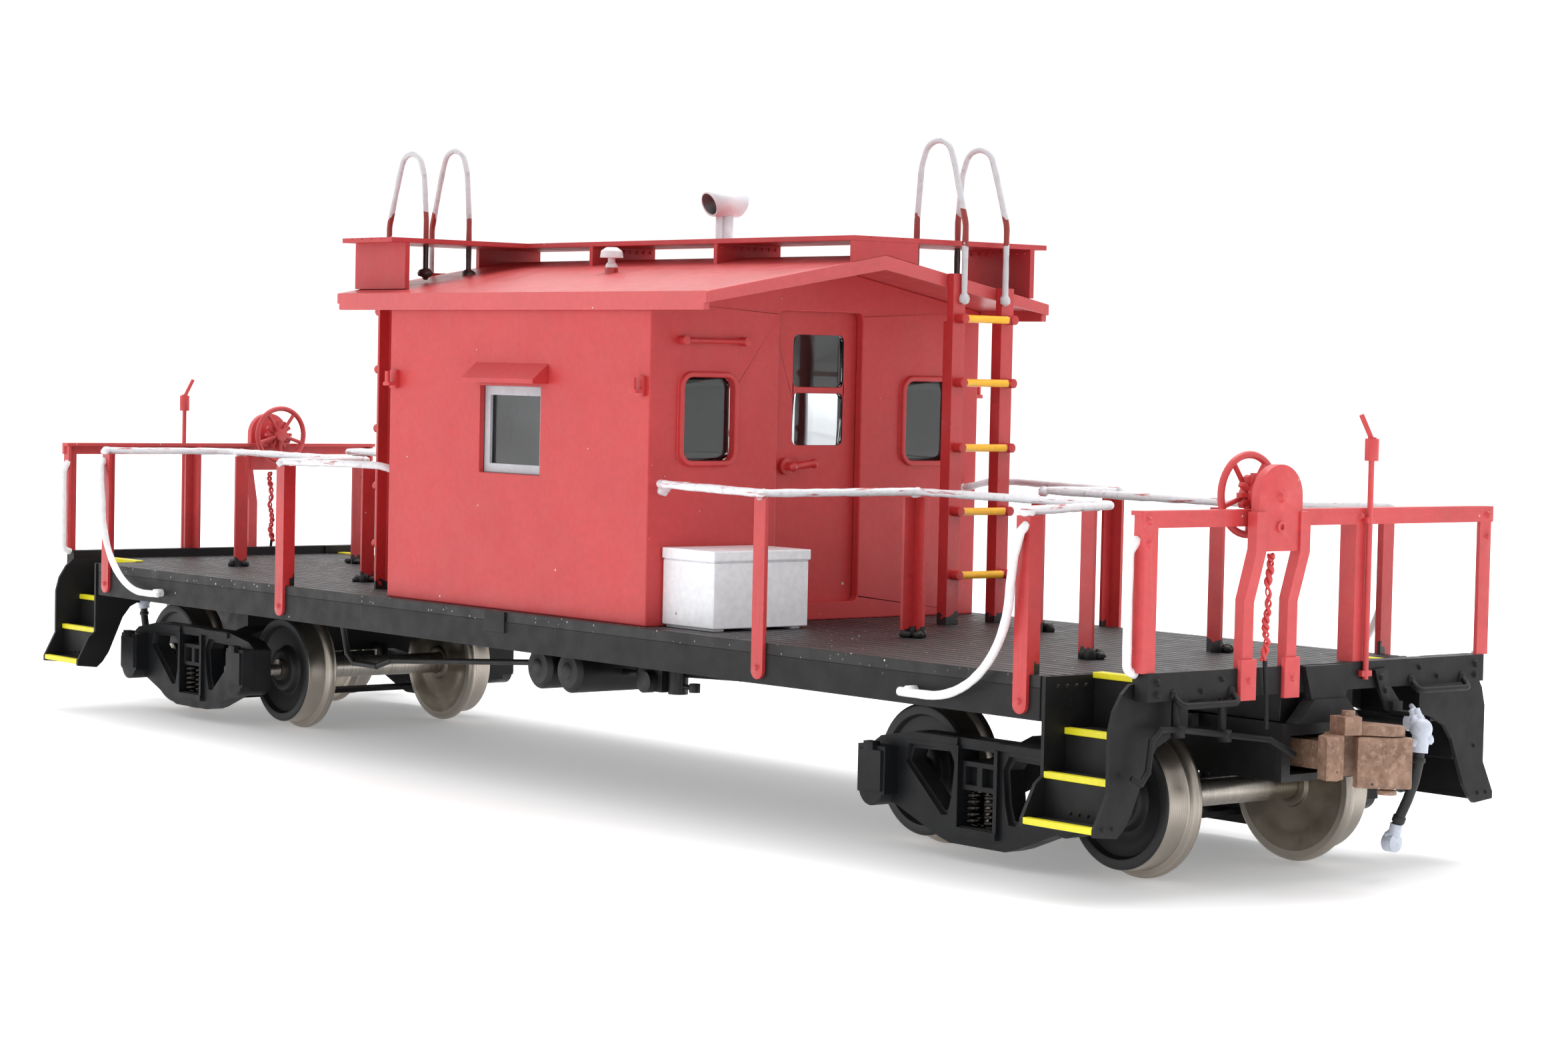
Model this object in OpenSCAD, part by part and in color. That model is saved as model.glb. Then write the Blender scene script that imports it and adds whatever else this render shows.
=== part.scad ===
// Transfer caboose, model railway scale: flat deck car, steel cabin, railings,
// corner steps, two swivelling trucks with turning wheelsets, knuckle couplers.
// Z = 0 is the bottom of the wheel flanges, +X is the car's length direction.

/* [View] */
// which node to draw, or the whole car

/* [Frame] */
// length over the two end beams
beam_len = 145.4; // [130:0.2:170]
// width over the end beams
beam_width = 33.6; // [30:0.2:38]
// height of the deck surface above the flange bottoms
deck_top = 14.2; // [12:0.1:17]
// length of the side sills, between the step wells
sill_len = 128.2; // [110:0.2:150]
// width over the side sills
sill_width = 36.0; // [32:0.2:40]
// depth of the side sills
sill_depth = 3.0; // [2:0.1:5]
// width of one deck plank
plank = 1.2; // [0.8:0.1:3]

/* [Cabin] */
// length of the cabin
cab_len = 35.8; // [28:0.2:60]
// width over the cabin walls
cab_width = 33.8; // [28:0.2:36]
// how far the cabin sits off the middle of the car
cab_shift = 2.0; // [-10:0.5:10]
// thickness of the cabin walls
wall = 0.8; // [0.5:0.1:1.5]

/* [Roof] */
// length of the roof
roof_len = 50.2; // [36:0.2:80]
// width of the roof
roof_width = 35.1; // [32:0.1:40]
// height of the roof edge
eave_z = 39.6; // [36:0.1:44]
// height of the ridge
ridge_z = 42.9; // [40:0.1:48]
// height of the roof walk surface
walk_z = 44.3; // [43:0.1:50]
// width of the ridge walk
walk_width = 6.6; // [4:0.1:9]

/* [Railings] */
// height of the handrails
rail_z = 25.2; // [20:0.1:30]
// thickness of the handrail pipe
pipe_d = 0.6; // [0.4:0.05:1]
// leg width of the angle-iron posts
post_w = 1.3; // [0.8:0.1:2]

/* [Trucks] */
// distance between the two truck centres
truck_spread = 107.6; // [90:0.2:120]
// distance between the two axles of a truck
wheelbase = 19.6; // [16:0.1:24]
// diameter of the wheel tread
tread_d = 9.6; // [8:0.1:12]
// distance between the backs of the two wheels on an axle
back_to_back = 14.5; // [13:0.05:15]
// how far each truck swings to each side
truck_swing = 8; // [4:1:15]

/* [Fits] */
// radial play of pins and journals in their holes
play = 0.05; // [0.02:0.01:0.1]
// clear gap between parts that move past one another
gap = 0.2; // [0.1:0.05:0.4]

/* [Hidden] */
$fn = 24;

bx = beam_len / 2;
by = beam_width / 2;
sx = sill_len / 2;
sy = sill_width / 2;
deck_t = 0.8;
deck_under = deck_top - deck_t;
sill_bot = deck_top - sill_depth;
beam_t = 1.2;
beam_top = deck_top + 0.8;
beam_bot = deck_top - 1.05;
cx = cab_len / 2;
cy = cab_width / 2;
rx = roof_len / 2;
ry = roof_width / 2;
roof_t = 0.7;
slope = (ridge_z - eave_z) / ry;
walk_t = 0.4;
walk_y = walk_width / 2;
lat_w = 7.7;
lat_y = ry - 0.45;
tx = truck_spread / 2;
ax = wheelbase / 2;
flange_h = 0.64;
axle_z = tread_d / 2 + flange_h;
wheel_w = 2.8;
wheel_back = back_to_back / 2;
wheel_face = wheel_back + wheel_w;
well_in = 13.2;
well_x1 = sx + 0.3;
well_x2 = bx - beam_t - 0.15;
plate_t = 0.3;
step_y = [15.8, 17.6, 19.9];
step_z = [10.7, 7.9, 5.0];
coup_z = 8.95;
coup_pivot_x = bx - 9.4;
knuckle_x = bx + 4.3;
knuckle_y = 1.7;

// ---------- helpers ----------
module both_ends() {
    children();
    rotate([0, 0, 180]) children();
}

module cab_ends() {
    translate([cab_shift, 0, 0]) children();
    translate([cab_shift, 0, 0]) rotate([0, 0, 180]) children();
}

module box(x1, x2, y1, y2, z1, z2) {
    translate([x1, y1, z1]) cube([x2 - x1, y2 - y1, z2 - z1]);
}

// straight round bar between two points
module rod(p, q, d) {
    v = q - p;
    len = norm(v);
    az = atan2(v[1], v[0]);
    el = acos(v[2] / len);
    translate(p) rotate([0, el, az]) cylinder(h = len, d = d);
}

module ball(p, d) {
    translate(p) sphere(d = d);
}

// bar bent through a list of points, with a small bead at each bend
bead = 1.1;
module wire(pts, d) {
    for (i = [0:len(pts) - 2]) rod(pts[i], pts[i + 1], d);
    for (i = [1:len(pts) - 2]) ball(pts[i], d * bead);
}

// level pipe run with a round upright fitting at each bend; the pipes stop inside the fittings
module fitted_run(pts, d) {
    n = len(pts) - 1;
    for (i = [0:n - 1]) {
        v = (pts[i + 1] - pts[i]) / norm(pts[i + 1] - pts[i]) * d * 0.45;
        rod(pts[i] + (i > 0 ? v : 0 * v), pts[i + 1] - (i < n - 1 ? v : 0 * v), d);
    }
    for (i = [1:n - 1]) translate(pts[i] - [0, 0, d * 0.7]) cylinder(h = 1.4 * d, d = 1.6 * d);
}

module rrect(w, h, r) {
    square([w - 2 * r, h], center = true);
    square([w, h - 2 * r], center = true);
    for (sx = [-1, 1]) for (sz = [-1, 1])
        translate([sx * (w / 2 - r), sz * (h / 2 - r)]) circle(r = r);
}

// flat plate facing along X: 2D shape given in Y, Z
module plate_x(x1, x2) {
    translate([x1, 0, 0]) rotate([90, 0, 90]) linear_extrude(height = x2 - x1) children();
}

// flat plate facing along Y: 2D shape given in X, Z
module plate_y(y1, y2) {
    translate([0, y2, 0]) rotate([90, 0, 0]) linear_extrude(height = y2 - y1) children();
}

module stud_x(p, d, h) {
    translate(p) rotate([0, 90, 0]) cylinder(h = h, d1 = d, d2 = d * 0.6);
}

module stud_y(p, d, h) {
    translate(p) rotate([h > 0 ? -90 : 90, 0, 0]) cylinder(h = abs(h), d1 = d, d2 = d * 0.6);
}

// ---------- frame ----------
module deck() {
    color([0.2, 0.2, 0.21])
    difference() {
        union() {
            box(-sx, sx, -sy, sy, deck_under, deck_top);
            box(-bx + beam_t, bx - beam_t, -well_in, well_in, deck_under, deck_top);
        }
        for (y = [-sy + plank:plank:sy - plank / 2])
            box(-bx, bx, y - 0.1, y + 0.1, deck_top - 0.16, deck_top + 1);
    }
}

module side_sills() {
    t = 0.7;
    color([0.22, 0.22, 0.23])
    for (s = [-1, 1]) scale([1, s, 1]) {
        box(-sx, sx, sy - t, sy, sill_bot, deck_under);
        box(-sx, sx, sy - 2.4, sy - t, sill_bot, sill_bot + 0.5);
        box(-sx, sx, sy - 2.4, sy - t, deck_under - 0.4, deck_under);
        for (e = [-1, 1]) box(e * sx - (e > 0 ? 0.5 : 0), e * sx + (e > 0 ? 0 : 0.5),
            sy - 2.4, sy - t, sill_bot + 0.5, deck_under - 0.4);
        box(s < 0 ? 0.3 : -3.1, s < 0 ? 3.1 : -0.3, sy, sy + 0.18, sill_bot + 1.3, deck_top);
    }
}

module center_sill() {
    w = 2.9;
    color([0.17, 0.17, 0.18]) {
        difference() {
            union() {
                box(-bx + beam_t, bx - beam_t, -w, w, 11.1, deck_under);
                for (x = [-28, -14, 14, 28])
                    box(x - 0.4, x + 0.4, -sy + 2.4, sy - 2.4, 11.6, deck_under);
                for (x = [-tx, tx]) {
                    box(x - 1.6, x + 1.6, -sy + 2.4, sy - 2.4, 11.6, deck_under);
                    translate([x, 0, 9.9]) cylinder(h = 2, d = 5.2);
                }
            }
            for (x = [-tx, tx]) translate([x, 0, 9]) cylinder(h = 5, d = 2.0);
        }
        for (y = [-9.2, 9.2]) box(-sx + 0.6, sx - 0.6, y - 0.35, y + 0.35, 12.2, deck_under);
    }
}

module end_beams() {
    color([0.2, 0.2, 0.21])
    both_ends() {
        difference() {
            box(bx - beam_t, bx, -by, by, beam_bot, beam_top);
            box(bx - beam_t - 1, bx - 0.35, -by + 0.4, by - 0.4, beam_bot - 1, deck_under - 0.1);
        }
        // gussets at the beam ends, over the step plates
        for (s = [-1, 1]) scale([1, s, 1]) {
            box(bx - beam_t - 0.2, bx - beam_t, 11.6, by, deck_top, beam_top);
            stud_x([bx, 15.9, 14.4], 0.55, 0.22);
            stud_x([bx, 15.9, 13.6], 0.55, 0.22);
            stud_x([bx, 11.8, 13.7], 0.45, 0.2);
            stud_x([bx, 9.9, 14.4], 0.45, 0.2);
        }
        // striker over the coupler
        plate_x(bx, bx + 0.5) polygon([[-2.4, beam_top - 0.05], [2.4, beam_top - 0.05],
            [1.7, 12.7], [-1.7, 12.7]]);
        plate_x(bx - 0.4, bx + 0.7) polygon([[-1.6, 12.7], [1.6, 12.7], [3.2, 11.15],
            [-3.2, 11.15]]);
    }
}

// outline of a step side plate, in Y and Z, for the +Y side; top gives its outer upper edge
module step_plate_2d(top) {
    polygon(concat([[11.6, deck_under], [well_in, deck_under], [well_in, 14.2]], top,
        [[18.75, 7.2], [19.9, 5.0], [19.9, 4.5], [17.9, 4.3], [17.3, 4.8], [16.65, 5.7],
        [15.9, 7.4], [15.2, 9.0], [14.4, 10.0], [12.9, 10.7], [11.6, 10.9]]));
}

module step_wells() {
    color([0.15, 0.15, 0.16])
    for (sxn = [-1, 1]) for (syn = [-1, 1]) scale([sxn, syn, 1]) {
        plate_x(well_x1, well_x1 + plate_t) step_plate_2d([[18.1, 14.2], [18.1, 7.7]]);
        plate_x(well_x2 - plate_t, well_x2)
            step_plate_2d([[17.0, 14.2], [17.7, 13.6], [18.4, 12.5], [18.75, 11.2]]);
        x1 = well_x1 + plate_t;
        x2 = well_x2 - plate_t;
        box(x1, x2, well_in, well_in + 0.4, step_z[0], 14.2);
        box(x1, x2, step_y[0] - 0.1, step_y[0] + 0.3, step_z[1], step_z[0] - 0.4);
        box(x1, x2, step_y[1] - 0.1, step_y[1] + 0.3, step_z[2], step_z[1] - 0.4);
        box(sx, well_x1, well_in, sy - 0.1, sill_bot, 14.1);
        for (i = [0:3]) stud_x([x1, 14.4 + i * 0.85, 13.5], 0.34, 0.16);
        box(x1, x1 + 0.15, 15.7, 15.9, 12.1, 12.7);
        for (i = [0:3]) stud_y([x1 + 2.4 + i * 0.8, step_y[1] + 0.3, 5.5], 0.3, 0.14);
        for (q = [[18.3, 5.0], [19.2, 5.0], [17.7, 8.4]]) stud_x([well_x2, q[0], q[1]], 0.34, 0.14);
    }
}

module step_treads() {
    color([0.16, 0.16, 0.17])
    for (sxn = [-1, 1]) for (syn = [-1, 1]) scale([sxn, syn, 1]) {
        x1 = well_x1 + plate_t;
        x2 = well_x2 - plate_t;
        box(x1, x2, well_in, step_y[0] + 0.3, step_z[0] - 0.4, step_z[0]);
        box(x1, x2, step_y[0] - 0.1, step_y[1] + 0.3, step_z[1] - 0.4, step_z[1]);
        box(x1, x2, step_y[1] - 0.1, step_y[2] - 0.2, step_z[2] - 0.4, step_z[2]);
    }
}

module step_nosings() {
    color([0.93, 0.83, 0.2])
    for (sxn = [-1, 1]) for (syn = [-1, 1]) scale([sxn, syn, 1]) {
        x1 = well_x1 + plate_t;
        x2 = well_x2 - plate_t;
        box(x1, x2, well_in + 0.4, well_in + 0.6, 13.95, 14.35);
        box(x1, x2, well_in - 0.3, well_in + 0.4, 14.2, 14.35);
        for (q = [[step_y[0] + 0.3, step_z[0]], [step_y[1] + 0.3, step_z[1]],
            [step_y[2] - 0.2, step_z[2]]]) {
            box(x1, x2, q[0], q[0] + 0.2, q[1] - 0.35, q[1] + 0.1);
            box(x1, x2, q[0] - 0.35, q[0], q[1], q[1] + 0.1);
        }
    }
}

// ---------- cabin ----------
side_win = [8.4, 7.0];
side_win_z = 28.65;
end_win = [4.9, 6.4];
end_win_y = 11.3;
end_win_z = 30.0;
door_w = 8.6;
door_z1 = 15.6;
door_z2 = 38.5;
pane_w = 5.2;
pane_y = 0.45;
pane_z = [34.65, 30.05];
side_win_x = 0.45;

function roof_under(y) = ridge_z - roof_t - slope * abs(y);

module gable_2d(y, z1) {
    polygon([[-y, z1], [y, z1], [y, roof_under(y)], [0, roof_under(0)], [-y, roof_under(y)]]);
}

module cabin_walls() {
    color([0.72, 0.2, 0.2])
    translate([cab_shift, 0, 0]) {
        difference() {
            union() {
                plate_x(-cx, -cx + wall) gable_2d(cy, deck_top);
                plate_x(cx - wall, cx) gable_2d(cy, deck_top);
                for (s = [-1, 1]) scale([1, s, 1])
                    box(-cx + wall, cx - wall, cy - wall, cy, deck_top, roof_under(cy));
            }
            for (s = [-1, 1]) scale([1, s, 1])
                plate_y(cy - wall - 1, cy + 1) translate([s * side_win_x, side_win_z])
                    square(side_win, center = true);
            for (e = [-1, 1]) scale([e, 1, 1]) {
                for (s = [-1, 1]) plate_x(cx - wall - 1, cx + 1)
                    translate([s * end_win_y, end_win_z]) rrect(end_win[0], end_win[1], 0.8);
                plate_x(cx - wall - 1, cx + 1) translate([0, (door_z1 + door_z2) / 2])
                    rrect(door_w, door_z2 - door_z1, 0.5);
            }
        }
        // raised frames round the end windows
        for (e = [-1, 1]) scale([e, 1, 1]) for (s = [-1, 1])
            plate_x(cx, cx + 0.35) translate([s * end_win_y, end_win_z]) difference() {
                rrect(end_win[0] + 0.8, end_win[1] + 0.8, 1.2);
                rrect(end_win[0], end_win[1], 0.8);
            }
    }
}

// doors against the inner face of the end walls
module end_doors() {
    t = 0.6;
    color([0.66, 0.17, 0.18])
    cab_ends() plate_x(cx - wall - t, cx - wall) difference() {
        translate([0, (door_z1 + door_z2) / 2])
            square([door_w + 1.2, door_z2 - door_z1 + 1.0], center = true);
        for (z = pane_z) translate([pane_y, z]) rrect(pane_w, 4.1, 0.5);
    }
}

module door_knobs() {
    x = cx - wall;
    y = -2.9;
    z = 26.35;
    color([0.72, 0.2, 0.2])
    cab_ends() {
        translate([x, y, z]) rotate([0, 90, 0]) cylinder(h = 0.45, d = 1.3);
        translate([x, y, z]) rotate([0, 90, 0]) cylinder(h = 1.1, d = 0.65);
        rod([cx + 0.25, y, z], [cx + 0.45, y + 2.0, z + 0.25], 0.6);
        ball([cx + 0.25, y, z], 0.8);
        ball([cx + 0.45, y + 2.0, z + 0.25], 0.75);
    }
}

module window_glass() {
    g = 0.2;
    color([0.2, 0.22, 0.24, 0.6])
    cab_ends() {
        plate_y(cy - wall - g, cy - wall) translate([side_win_x, side_win_z])
            square([side_win[0] + 0.8, side_win[1] + 0.8], center = true);
        for (s = [-1, 1]) plate_x(cx - 0.55, cx - 0.55 + g)
            translate([s * end_win_y, end_win_z]) rrect(end_win[0] - 0.02, end_win[1] - 0.02, 0.8);
        for (z = pane_z) plate_x(cx - wall - 0.4, cx - wall - 0.4 + g)
            translate([pane_y, z]) rrect(pane_w - 0.02, 4.08, 0.5);
    }
}

module window_frames() {
    w = side_win[0];
    h = side_win[1];
    t = 0.75;
    color([0.78, 0.79, 0.82])
    cab_ends() scale([1, -1, 1])
        plate_y(cy - wall, cy - wall + 0.3) translate([-side_win_x, side_win_z]) difference() {
            square([w, h], center = true);
            square([w - 2 * t, h - 2 * t], center = true);
        }
}

module window_awnings() {
    w = 10.0;
    color([0.7, 0.19, 0.2])
    cab_ends() {
        z = 32.4;
        translate([0.3 - w / 2, 0, 0]) rotate([90, 0, 90]) linear_extrude(height = w)
            polygon([[cy, z + 1.6], [cy + 1.5, z + 0.35], [cy + 1.5, z], [cy + 1.25, z],
                [cy, z + 1.15]]);
        for (x = [0.3 - w / 2, w / 2]) translate([x, 0, 0]) rotate([90, 0, 90])
            linear_extrude(height = 0.3)
                polygon([[cy, z], [cy + 1.3, z], [cy + 1.3, z + 0.4], [cy, z + 1.3]]);
    }
}

module wall_fittings() {
    color([0.72, 0.2, 0.2])
    cab_ends() {
        // marker lamp brackets near the cabin corners
        for (x = [-cx + 0.9, cx - 0.9]) {
            box(x - 0.45, x + 0.45, cy, cy + 0.35, 31.7, 33.2);
            box(x - 0.45, x + 0.45, cy + 0.35, cy + 1.0, 31.9, 32.2);
            box(x - 0.2, x + 0.2, cy + 0.75, cy + 1.0, 32.2, 33.1);
        }
        // short bar over one end window
        rod([cx + 0.55, -14.0, 36.0], [cx + 0.55, -8.0, 36.0], 0.4);
        for (y = [-14.0, -8.0]) translate([cx, y, 36.0]) rotate([0, 90, 0]) cylinder(h = 0.75, d = 0.7);
    }
}

// ---------- roof ----------
module roof() {
    fz = 38.2;
    ft = 0.55;
    color([0.75, 0.24, 0.24])
    translate([cab_shift, 0, 0]) {
        plate_x(-rx, rx) polygon([[-ry, fz], [-ry, eave_z], [0, ridge_z], [ry, eave_z],
            [ry, fz], [ry - ft, fz], [ry - ft, roof_under(ry - ft)], [0, roof_under(0)],
            [-ry + ft, roof_under(ry - ft)], [-ry + ft, fz]]);
        for (e = [-1, 1]) scale([e, 1, 1]) plate_x(rx, rx + 0.3)
            polygon([[-ry, fz + 0.5], [-ry, eave_z], [0, ridge_z], [ry, eave_z], [ry, fz + 0.5],
                [0, ridge_z - 1.15]]);
    }
}

module board_grooves(x1, x2, y1, y2, n, along_x) {
    for (i = [1:n - 1]) if (along_x)
        box(x1 - 1, x2 + 1, y1 + i * (y2 - y1) / n - 0.07, y1 + i * (y2 - y1) / n + 0.07,
            walk_z - 0.15, walk_z + 1);
    else
        box(x1 + i * (x2 - x1) / n - 0.07, x1 + i * (x2 - x1) / n + 0.07, y1, y2 + 1,
            walk_z - 0.15, walk_z + 1);
}

arch_x1 = 26.4;
arch_x2 = 20.7;
arch_y = [7.3, 11.7];
wire_d = 0.62;

module roof_walk() {
    color([0.74, 0.22, 0.23])
    translate([cab_shift, 0, 0]) {
        difference() {
            union() {
                box(-rx - 0.3, rx + 0.3, -walk_y, walk_y, walk_z - walk_t, walk_z);
                for (e = [0, 180]) rotate([0, 0, e])
                    box(rx + 0.3 - lat_w, rx + 0.3, walk_y, lat_y, walk_z - walk_t, walk_z);
            }
            board_grooves(-rx, rx, -walk_y, walk_y, 4, true);
            for (e = [0, 180]) rotate([0, 0, e]) {
                board_grooves(rx + 0.3 - lat_w, rx + 0.3, walk_y, lat_y, 5, false);
                for (y = arch_y) translate([arch_x2, y, walk_z - 1]) cylinder(h = 2, d = 1.0);
            }
        }
    }
}

module walk_supports() {
    under = walk_z - walk_t;
    color([0.73, 0.21, 0.22])
    translate([cab_shift, 0, 0]) {
        for (i = [0:3]) {
            x = -rx - 0.3 + i * (roof_len + 0.6 - 0.45) / 3;
            plate_x(x, x + 0.45) polygon([[-walk_y, under], [-walk_y, ridge_z - slope * walk_y],
                [0, ridge_z], [walk_y, ridge_z - slope * walk_y], [walk_y, under]]);
            if (i > 0 && i < 3) for (y = [-2.8:0.7:2.8]) stud_x([x + 0.45, y, under - 0.3], 0.3, 0.14);
        }
        for (e = [0, 180]) rotate([0, 0, e]) {
            plate_y(15.3, 15.75) polygon([[rx + 0.3 - lat_w, under], [rx + 0.3, under],
                [rx + 0.3, ridge_z - slope * 15.3], [rx + 0.3 - lat_w, ridge_z - slope * 15.3]]);
            for (i = [0:7]) stud_y([rx - 6.7 + i * 0.9, 15.3, under - 0.3], 0.3, -0.14);
        }
    }
}

module smokejack() {
    x = -1.4;
    y = 7;
    jack_z = 47.75;
    zr = ridge_z - slope * y;
    color([0.82, 0.83, 0.85])
    difference() {
        union() {
            translate([x, y + 0.25, zr - 0.6]) cylinder(h = 47.55 - zr, d = 1.1);
            translate([x - 0.1, y - 0.5, zr - 0.6]) cylinder(h = 47.55 - zr, d = 0.64);
            translate([x, y + 1.9, jack_z]) rotate([90, 0, 0]) cylinder(h = 3.8, d = 2.04);
            translate([x, y, zr - 0.6]) cylinder(h = 1.1, d = 2.0);
        }
        translate([x, y + 2, jack_z]) rotate([90, 0, 0]) cylinder(h = 4, d = 1.68);
    }
}

module roof_vent() {
    x = cab_shift;
    y = -7.4;
    zr = ridge_z + slope * y;
    color([0.85, 0.85, 0.87]) {
        translate([x, y, zr - 0.3]) cylinder(h = 0.75, d = 1.1);
        translate([x, y, zr + 0.45]) sphere(d = 1.0);
        translate([x, y, zr + 0.7]) cylinder(h = 0.5, d = 0.6);
        translate([x, y, zr + 1.2]) cylinder(h = 0.55, d1 = 1.9, d2 = 1.75);
        translate([x, y, zr + 1.75]) cylinder(h = 0.3, d1 = 1.75, d2 = 0.9);
    }
}

// ---------- ladders, at opposite corners of the roof ----------
ladder_x = rx + 0.75;
stile_y = [6.5, 11.7];

module ladder_stiles() {
    color([0.73, 0.21, 0.22])
    cab_ends() for (i = [0, 1]) {
        y = stile_y[i];
        top = i == 0 ? 41.7 : 40.7;
        box(ladder_x, ladder_x + 0.3, y - 0.1, y + 1.2, deck_top, top);
        box(ladder_x - 0.8, ladder_x, y - 0.1, y + 0.2, deck_top, 38.0);
        box(ladder_x - 0.4, ladder_x, y - 0.1, y + 0.2, 38.0, top);
        box(rx + 0.3, ladder_x, y + 0.2, y + 1.1, 39.2, 40.2);
    }
}

rung_z = [18.1, 23.1, 28.1, 33.2, 38.2];

module ladder_rungs() {
    color([0.95, 0.78, 0.1])
    cab_ends() for (z = rung_z) {
        rod([ladder_x + 0.75, stile_y[0] + 0.5, z], [ladder_x + 0.75, stile_y[1] + 0.6, z], 0.6);
        for (y = [stile_y[0] + 0.5, stile_y[1] + 0.6])
            translate([ladder_x + 0.3, y, z]) rotate([0, 90, 0]) cylinder(h = 0.85, d = 0.75);
    }
}

module ladder_arches() {
    color([0.9, 0.9, 0.92])
    cab_ends() for (y = arch_y) {
        zr = ridge_z - slope * y;
        r = (arch_x1 - arch_x2) / 2 - 1.1;
        xm = (arch_x1 + arch_x2) / 2 - 0.5;
        zt = 51.3;
        wire([[arch_x1, y, 39.4], [arch_x1, y, 46.2], [xm + r, y, zt - 0.5]], wire_d);
        wire([[arch_x2, y, zr - 0.5], [arch_x2, y, 46.6], [xm - r, y, zt - 0.5]], wire_d);
        translate([xm, y, zt - 0.5]) rotate([90, 0, 0]) rotate_extrude(angle = 180)
            translate([r, 0]) circle(d = wire_d);
        ball([xm - r, y, zt - 0.5], wire_d * bead);
        ball([xm + r, y, zt - 0.5], wire_d * bead);
        translate([arch_x2, y, zr - 0.5]) cylinder(h = 0.8, d = 1.0);
        rod([arch_x1, y, 39.8], [ladder_x, y, 39.8], 0.42);
        rod([arch_x1, y, 41.6], [ladder_x - 0.1, y, 41.6], 0.3);
    }
}

// ---------- deck fittings ----------
module tool_boxes() {
    x1 = cx + 0.1;
    x2 = cx + 6.4;
    color([0.75, 0.77, 0.8])
    cab_ends() difference() {
        union() {
            box(x1, x2, -15.4, -6.2, deck_top + 0.2, deck_top + 5.15);
            box(x1, x2 + 0.12, -15.52, -6.08, deck_top + 5.25, deck_top + 6.05);
            box(x1 + 0.1, x2 - 0.1, -15.3, -6.3, deck_top + 5.1, deck_top + 5.3);
            for (y = [-15.0, -11.3, -7.6]) box(x1, x2 - 0.3, y, y + 0.9, deck_top, deck_top + 0.2);
        }
        box(x1 + 0.6, x2 - 0.5, -14.9, -6.7, deck_top + 0.7, deck_top + 5.0);
    }
}

post_t = 0.27;
post_top = rail_z - 0.55;
p1 = [35 - cab_shift, -sy - 0.38];
p2 = [36.5 - cab_shift, -4.6];
p3 = [36.5 - cab_shift, 8.6];
pa_x = 62.4;
pb = [56.0, -5.3];
pe = [56.0, 7.7];

// angle-iron post standing on the deck; side picks which Y edge its X leg is on
module deck_post(x, y, side) {
    h = post_w / 2;
    yl = side > 0 ? y + h - post_t : y - h;
    box(x - h, x - h + post_t, y - h, y + h, deck_top, post_top);
    box(x - h + post_t, x + h, yl, yl + post_t, deck_top, post_top);
}

// angle-iron post on the outer face of a side sill; side picks the X edge of its inner leg
module sill_post(x, side) {
    h = post_w / 2;
    xl = side > 0 ? x + h - post_t : x - h;
    box(x - h, x + h, sy, sy + post_t, 12.2, post_top);
    translate([x, sy, 12.2]) rotate([-90, 0, 0]) cylinder(h = post_t, d = post_w);
    box(xl, xl + post_t, sy - 0.9, sy, deck_top, post_top);
    stud_y([x, sy + post_t, 12.4], 0.5, 0.2);
}

module rail_posts() {
    color([0.76, 0.22, 0.23]) {
        cab_ends() {
            for (s = [-1, 1]) scale([1, s, 1]) sill_post(p1[0], -1);
            deck_post(p2[0], p2[1], 1);
            deck_post(p3[0], p3[1], -1);
        }
        both_ends() {
            for (s = [-1, 1]) scale([1, s, 1]) sill_post(pa_x, 1);
            deck_post(pb[0], pb[1], -1);
            deck_post(pe[0], pe[1], -1);
        }
    }
}

// one run of handrail, from the cabin wall out and back to the side sill
module side_run(e, s, inner, outer) {
    dx = e * cab_shift;
    y1 = s * (sy + 0.1);
    xw = cx + dx;
    z = rail_z - 0.12;
    fitted_run([[xw - 0.1, s * 15.6, z], [xw + 1.6, s * 15.6, z], [xw + 3.2, y1, z],
        [p1[0] + dx, y1, z], [inner[0] + dx, inner[1], z],
        [outer[0] + 1.6, outer[1], z], [outer[0] + 2.6, outer[1] + s * 1.0, z],
        [pa_x, y1, z]], pipe_d);
}

module side_handrails() {
    color([0.86, 0.86, 0.88]) {
        side_run(1, -1, p2, pb);
        side_run(1, 1, p3, pe);
        rotate([0, 0, 180]) {
            side_run(-1, -1, p2, pb);
            side_run(-1, 1, p3, pe);
        }
    }
}

bar_z = rail_z - 0.9;

module end_rails() {
    color([0.8, 0.3, 0.3])
    both_ends() {
        box(bx - 0.4, bx - 0.1, -by - 0.7, by + 0.7, bar_z, bar_z + 1.1);
        box(bx - 1.2, bx - 0.4, -by - 0.7, by + 0.7, bar_z + 0.8, bar_z + 1.1);
        for (s = [-1, 1]) scale([1, s, 1]) {
            box(bx - 0.4, bx - 0.1, by - 0.7, by + 0.5, beam_top, bar_z);
            box(bx - 1.1, bx - 0.4, by + 0.23, by + 0.5, beam_top, bar_z + 0.8);
            stud_x([bx - 0.1, by + 0.1, bar_z + 0.5], 0.6, 0.25);
            stud_x([bx - 0.1, by + 0.1, bar_z - 1.0], 0.5, 0.2);
        }
        box(bx - 0.4, bx - 0.1, 3.0, 4.1, beam_top, bar_z);
        box(bx - 1.5, bx - 0.4, 3.0, 3.27, beam_top, bar_z + 0.8);
        stud_x([bx - 0.1, 3.5, bar_z + 0.55], 0.5, 0.2);
    }
}

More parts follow.
